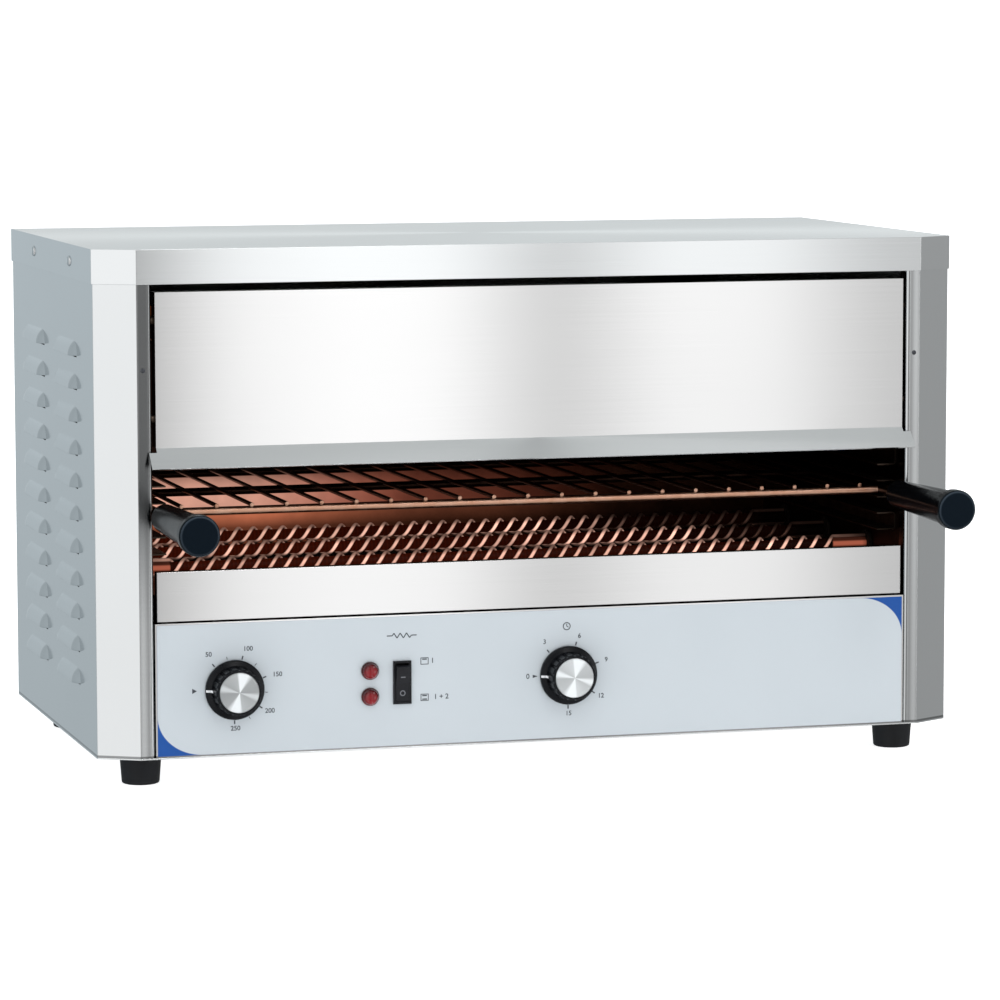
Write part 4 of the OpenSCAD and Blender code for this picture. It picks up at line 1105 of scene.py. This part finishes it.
def rocker_prints():
    face_y = box("switch_housing")[0].y + AXIS_DEPTH - FACE_REACH
    ring = Print(SWITCH_X, CONTROL_Z, face_y)
    ring.ring(RING_PLACE, RING_R, RING_W)
    ring.done("rocker_ring_print", "grey_ink", "switch_rocker", "switch_black")
    bar = Print(SWITCH_X, CONTROL_Z, face_y)
    bar.line(*BAR_ENDS, BAR_LINE)
    ridge = Vector((SWITCH_X, face_y, CONTROL_Z - RIDGE_DROP))
    lean = Matrix.Rotation(ROCKER_LEAN, 4, "X")
    bar.bm.transform(Matrix.Translation(ridge) @ lean @ Matrix.Translation(-ridge))
    bar.done("rocker_bar_print", "grey_ink", "switch_rocker", "switch_black")


thermostat_print()
timer_print()
switch_print()
rocker_prints()


# Stage, light and camera

# Brightness of the studio's walls: (azimuth in degrees, level), 0 in front and 90 on the right
WALLS = [(-180, 0.64), (-164, 0.52), (-150, 0.46), (-130, 0.47), (-80, 0.5), (-62, 0.8), (-50, 1.2),
         (-34, 1.2), (-22, 0.7), (-8, 0.26), (11, 0.42), (11.5, 0.5), (11.9, 0.74), (12.5, 1.2), (13.3, 1.4),
         (15.5, 1.38), (16.1, 0.5), (16.4, 0.08), (16.75, 0.7), (17.3, 1.12), (18.4, 1.3), (19.4, 1.35),
         (20.2, 1.15), (20.8, 0.72), (21.3, 0.8), (28, 0.5), (50, 0.5), (54, 2.2), (62, 2.2), (66, 0.36),
         (164, 0.78), (180, 0.64)]
WALL_MAX = 3.0
# The walls behind the object and on its left are cooler, and so is the ceiling
LEFT = 70
REAR = 120
COLD = (0.89, 1, 1.06)
MILD = (0.95, 1, 1.01)
# The walls are darker close to the floor, and the ceiling takes over high up, by the direction's rise
LOW_RISE = (-0.17, -0.04)
LOW_SHADE = 0.86
CEILING_RISE = (0.8, 0.95)
# Brightness of the ceiling's strips, by the direction's share to the right
CEILING = [(0, 0.7), (0.19, 0.42), (0.22, 0.66), (0.25, 0.74), (0.272, 0.7), (0.284, 0.44), (0.297, 0.74),
           (0.33, 0.84), (0.346, 0.72), (0.37, 0.5), (1, 0.7)]
# Round window over the camera, with a soft edge
WINDOW_AZIMUTH = math.radians(12)
WINDOW_ELEVATION = math.radians(40)
WINDOW_HALF_WIDTH = math.radians(7)
WINDOW_EDGE = 0.15
WINDOW_LEVEL = 6.0
# Floor and backdrop, in metres
FLOOR_HALF = 400
BACKDROP_R = 25
BACKDROP_H = 14
# The camera that was solved from the photo: lens and sensor in mm, place in metres, turns in degrees
LENS = 160.415
SENSOR = 36
CAMERA_PLACE = (-0.9071, -3.15355, 0.5393)
CAMERA_YAW = math.radians(16.1276)
CAMERA_PITCH = math.radians(6.1735)
CAMERA_ROLL = math.radians(-0.0937)
CAMERA_REACH = 200


def floor():
    bm = bmesh.new()
    bmesh.ops.create_grid(bm, x_segments=8, y_segments=8, size=FLOOR_HALF)
    obj = add("floor", mesh_of("floor", bm))
    mat, tree, shader = new_material("floor_pale")
    soft = noise(tree, coords(tree), scale=3, detail=2)
    dress(shader, {
        "Base Color": blend(tree, soft, grey(0.9), grey(0.93)),
        "Roughness": 0.85,
        "Emission Color": grey(1),
        "Emission Strength": 0.8,
        "Specular IOR Level": 0.1,
    })
    obj.data.materials.append(mat)
    obj.visible_glossy = False


def backdrop():
    """White ring round the floor, seen by the camera alone."""
    bm = bmesh.new()
    bmesh.ops.create_circle(bm, segments=64, radius=BACKDROP_R)
    walls = bmesh.ops.extrude_edge_only(bm, edges=bm.edges[:])["geom"]
    for vert in walls:
        if isinstance(vert, bmesh.types.BMVert):
            vert.co.z = BACKDROP_H
    obj = add("backdrop", mesh_of("backdrop", bm))
    mat, _, shader = new_material("backdrop_white")
    dress(shader, {"Base Color": grey(0.9), "Emission Color": grey(1), "Emission Strength": 1.1})
    obj.data.materials.append(mat)
    obj.visible_glossy = obj.visible_diffuse = obj.visible_transmission = obj.visible_shadow = False


def area(name, place, aim, width, height, power):
    """Soft box that the camera and the metals don't see."""
    light = bpy.data.lights.new(name, "AREA")
    light.shape = "RECTANGLE"
    light.size, light.size_y = width, height
    light.energy = power
    obj = add(name, light)
    obj.location = place
    obj.rotation_euler = (Vector(aim) - Vector(place)).to_track_quat("-Z", "Y").to_euler()
    obj.visible_camera = obj.visible_glossy = False


def wall_tint(azimuth):
    if azimuth < -LEFT:
        return COLD
    return MILD if azimuth > REAR else WHITE


def strips(tree, place, levels):
    """Brightness along a place, as (place, level, tint)."""
    return ramp(tree, place, [(at, grey(level / WALL_MAX, tint)) for at, level, tint in levels])


def heading(azimuth, elevation):
    """The direction at an azimuth and an elevation."""
    return Vector((math.sin(azimuth) * math.cos(elevation), -math.cos(azimuth) * math.cos(elevation),
                   math.sin(elevation)))


def window(tree, direction):
    """1 in the window and 0 outside."""
    towards = tree.nodes.new("ShaderNodeVectorMath")
    towards.operation = "DOT_PRODUCT"
    tree.links.new(direction, towards.inputs[0])
    towards.inputs[1].default_value = heading(WINDOW_AZIMUTH, WINDOW_ELEVATION)
    return between(tree, towards.outputs["Value"], math.cos(WINDOW_HALF_WIDTH * (1 + WINDOW_EDGE)),
                   math.cos(WINDOW_HALF_WIDTH * (1 - WINDOW_EDGE)), 0, 1)


def world():
    """Studio: walls by azimuth, from behind the object round by its left, a ceiling and a window."""
    scene_world = bpy.data.worlds.new("studio")
    bpy.context.scene.world = scene_world
    scene_world.use_nodes = True
    tree = scene_world.node_tree
    tree.nodes.clear()
    out = tree.nodes.new("ShaderNodeOutputWorld")
    back = tree.nodes.new("ShaderNodeBackground")
    tree.links.new(back.outputs[0], out.inputs[0])
    direction = tree.nodes.new("ShaderNodeTexCoord").outputs["Generated"]
    right, behind, rise = parts_of(tree, direction)
    turn = math_node(tree, "ARCTAN2", right, product(tree, behind, -1.0))
    walls = strips(tree, between(tree, turn, -math.pi, math.pi, 0, 1),
                   [((azimuth + 180) / 360, level, wall_tint(azimuth)) for azimuth, level in WALLS])
    walls = shade_of(tree, walls, blend(tree, between(tree, rise, *LOW_RISE, 0, 1), grey(LOW_SHADE), grey(1)))
    above = strips(tree, right, [(*stop, MILD) for stop in CEILING])
    studio = blend(tree, between(tree, rise, *CEILING_RISE, 0, 1, True), walls, above)
    lit = blend(tree, window(tree, direction), studio, grey(WINDOW_LEVEL / WALL_MAX))
    dress(back, {"Color": lit, "Strength": WALL_MAX})


def camera():
    data = bpy.data.cameras.new("camera")
    data.lens = LENS
    data.sensor_width = SENSOR
    data.clip_end = CAMERA_REACH
    obj = add("camera", data)
    ahead = -heading(-CAMERA_YAW, CAMERA_PITCH)
    right = Vector((math.cos(CAMERA_YAW), -math.sin(CAMERA_YAW), 0))
    up = right.cross(ahead)
    side = right * math.cos(CAMERA_ROLL) + up * math.sin(CAMERA_ROLL)
    top = up * math.cos(CAMERA_ROLL) - right * math.sin(CAMERA_ROLL)
    turn = Matrix((side, top, -ahead)).transposed().to_4x4()
    obj.matrix_world = Matrix.Translation(CAMERA_PLACE) @ turn
    bpy.context.scene.camera = obj


floor()
backdrop()
world()
camera()
area("top_box", place=(-0.5, -0.9, 2.6), aim=(0, 0, 0.2), width=2.4, height=2.0, power=16)
area("front_box", place=(-0.9, -2.6, 1.3), aim=(0, 0, 0.15), width=2.0, height=1.4, power=5)
bpy.context.scene.view_settings.view_transform = "Standard"
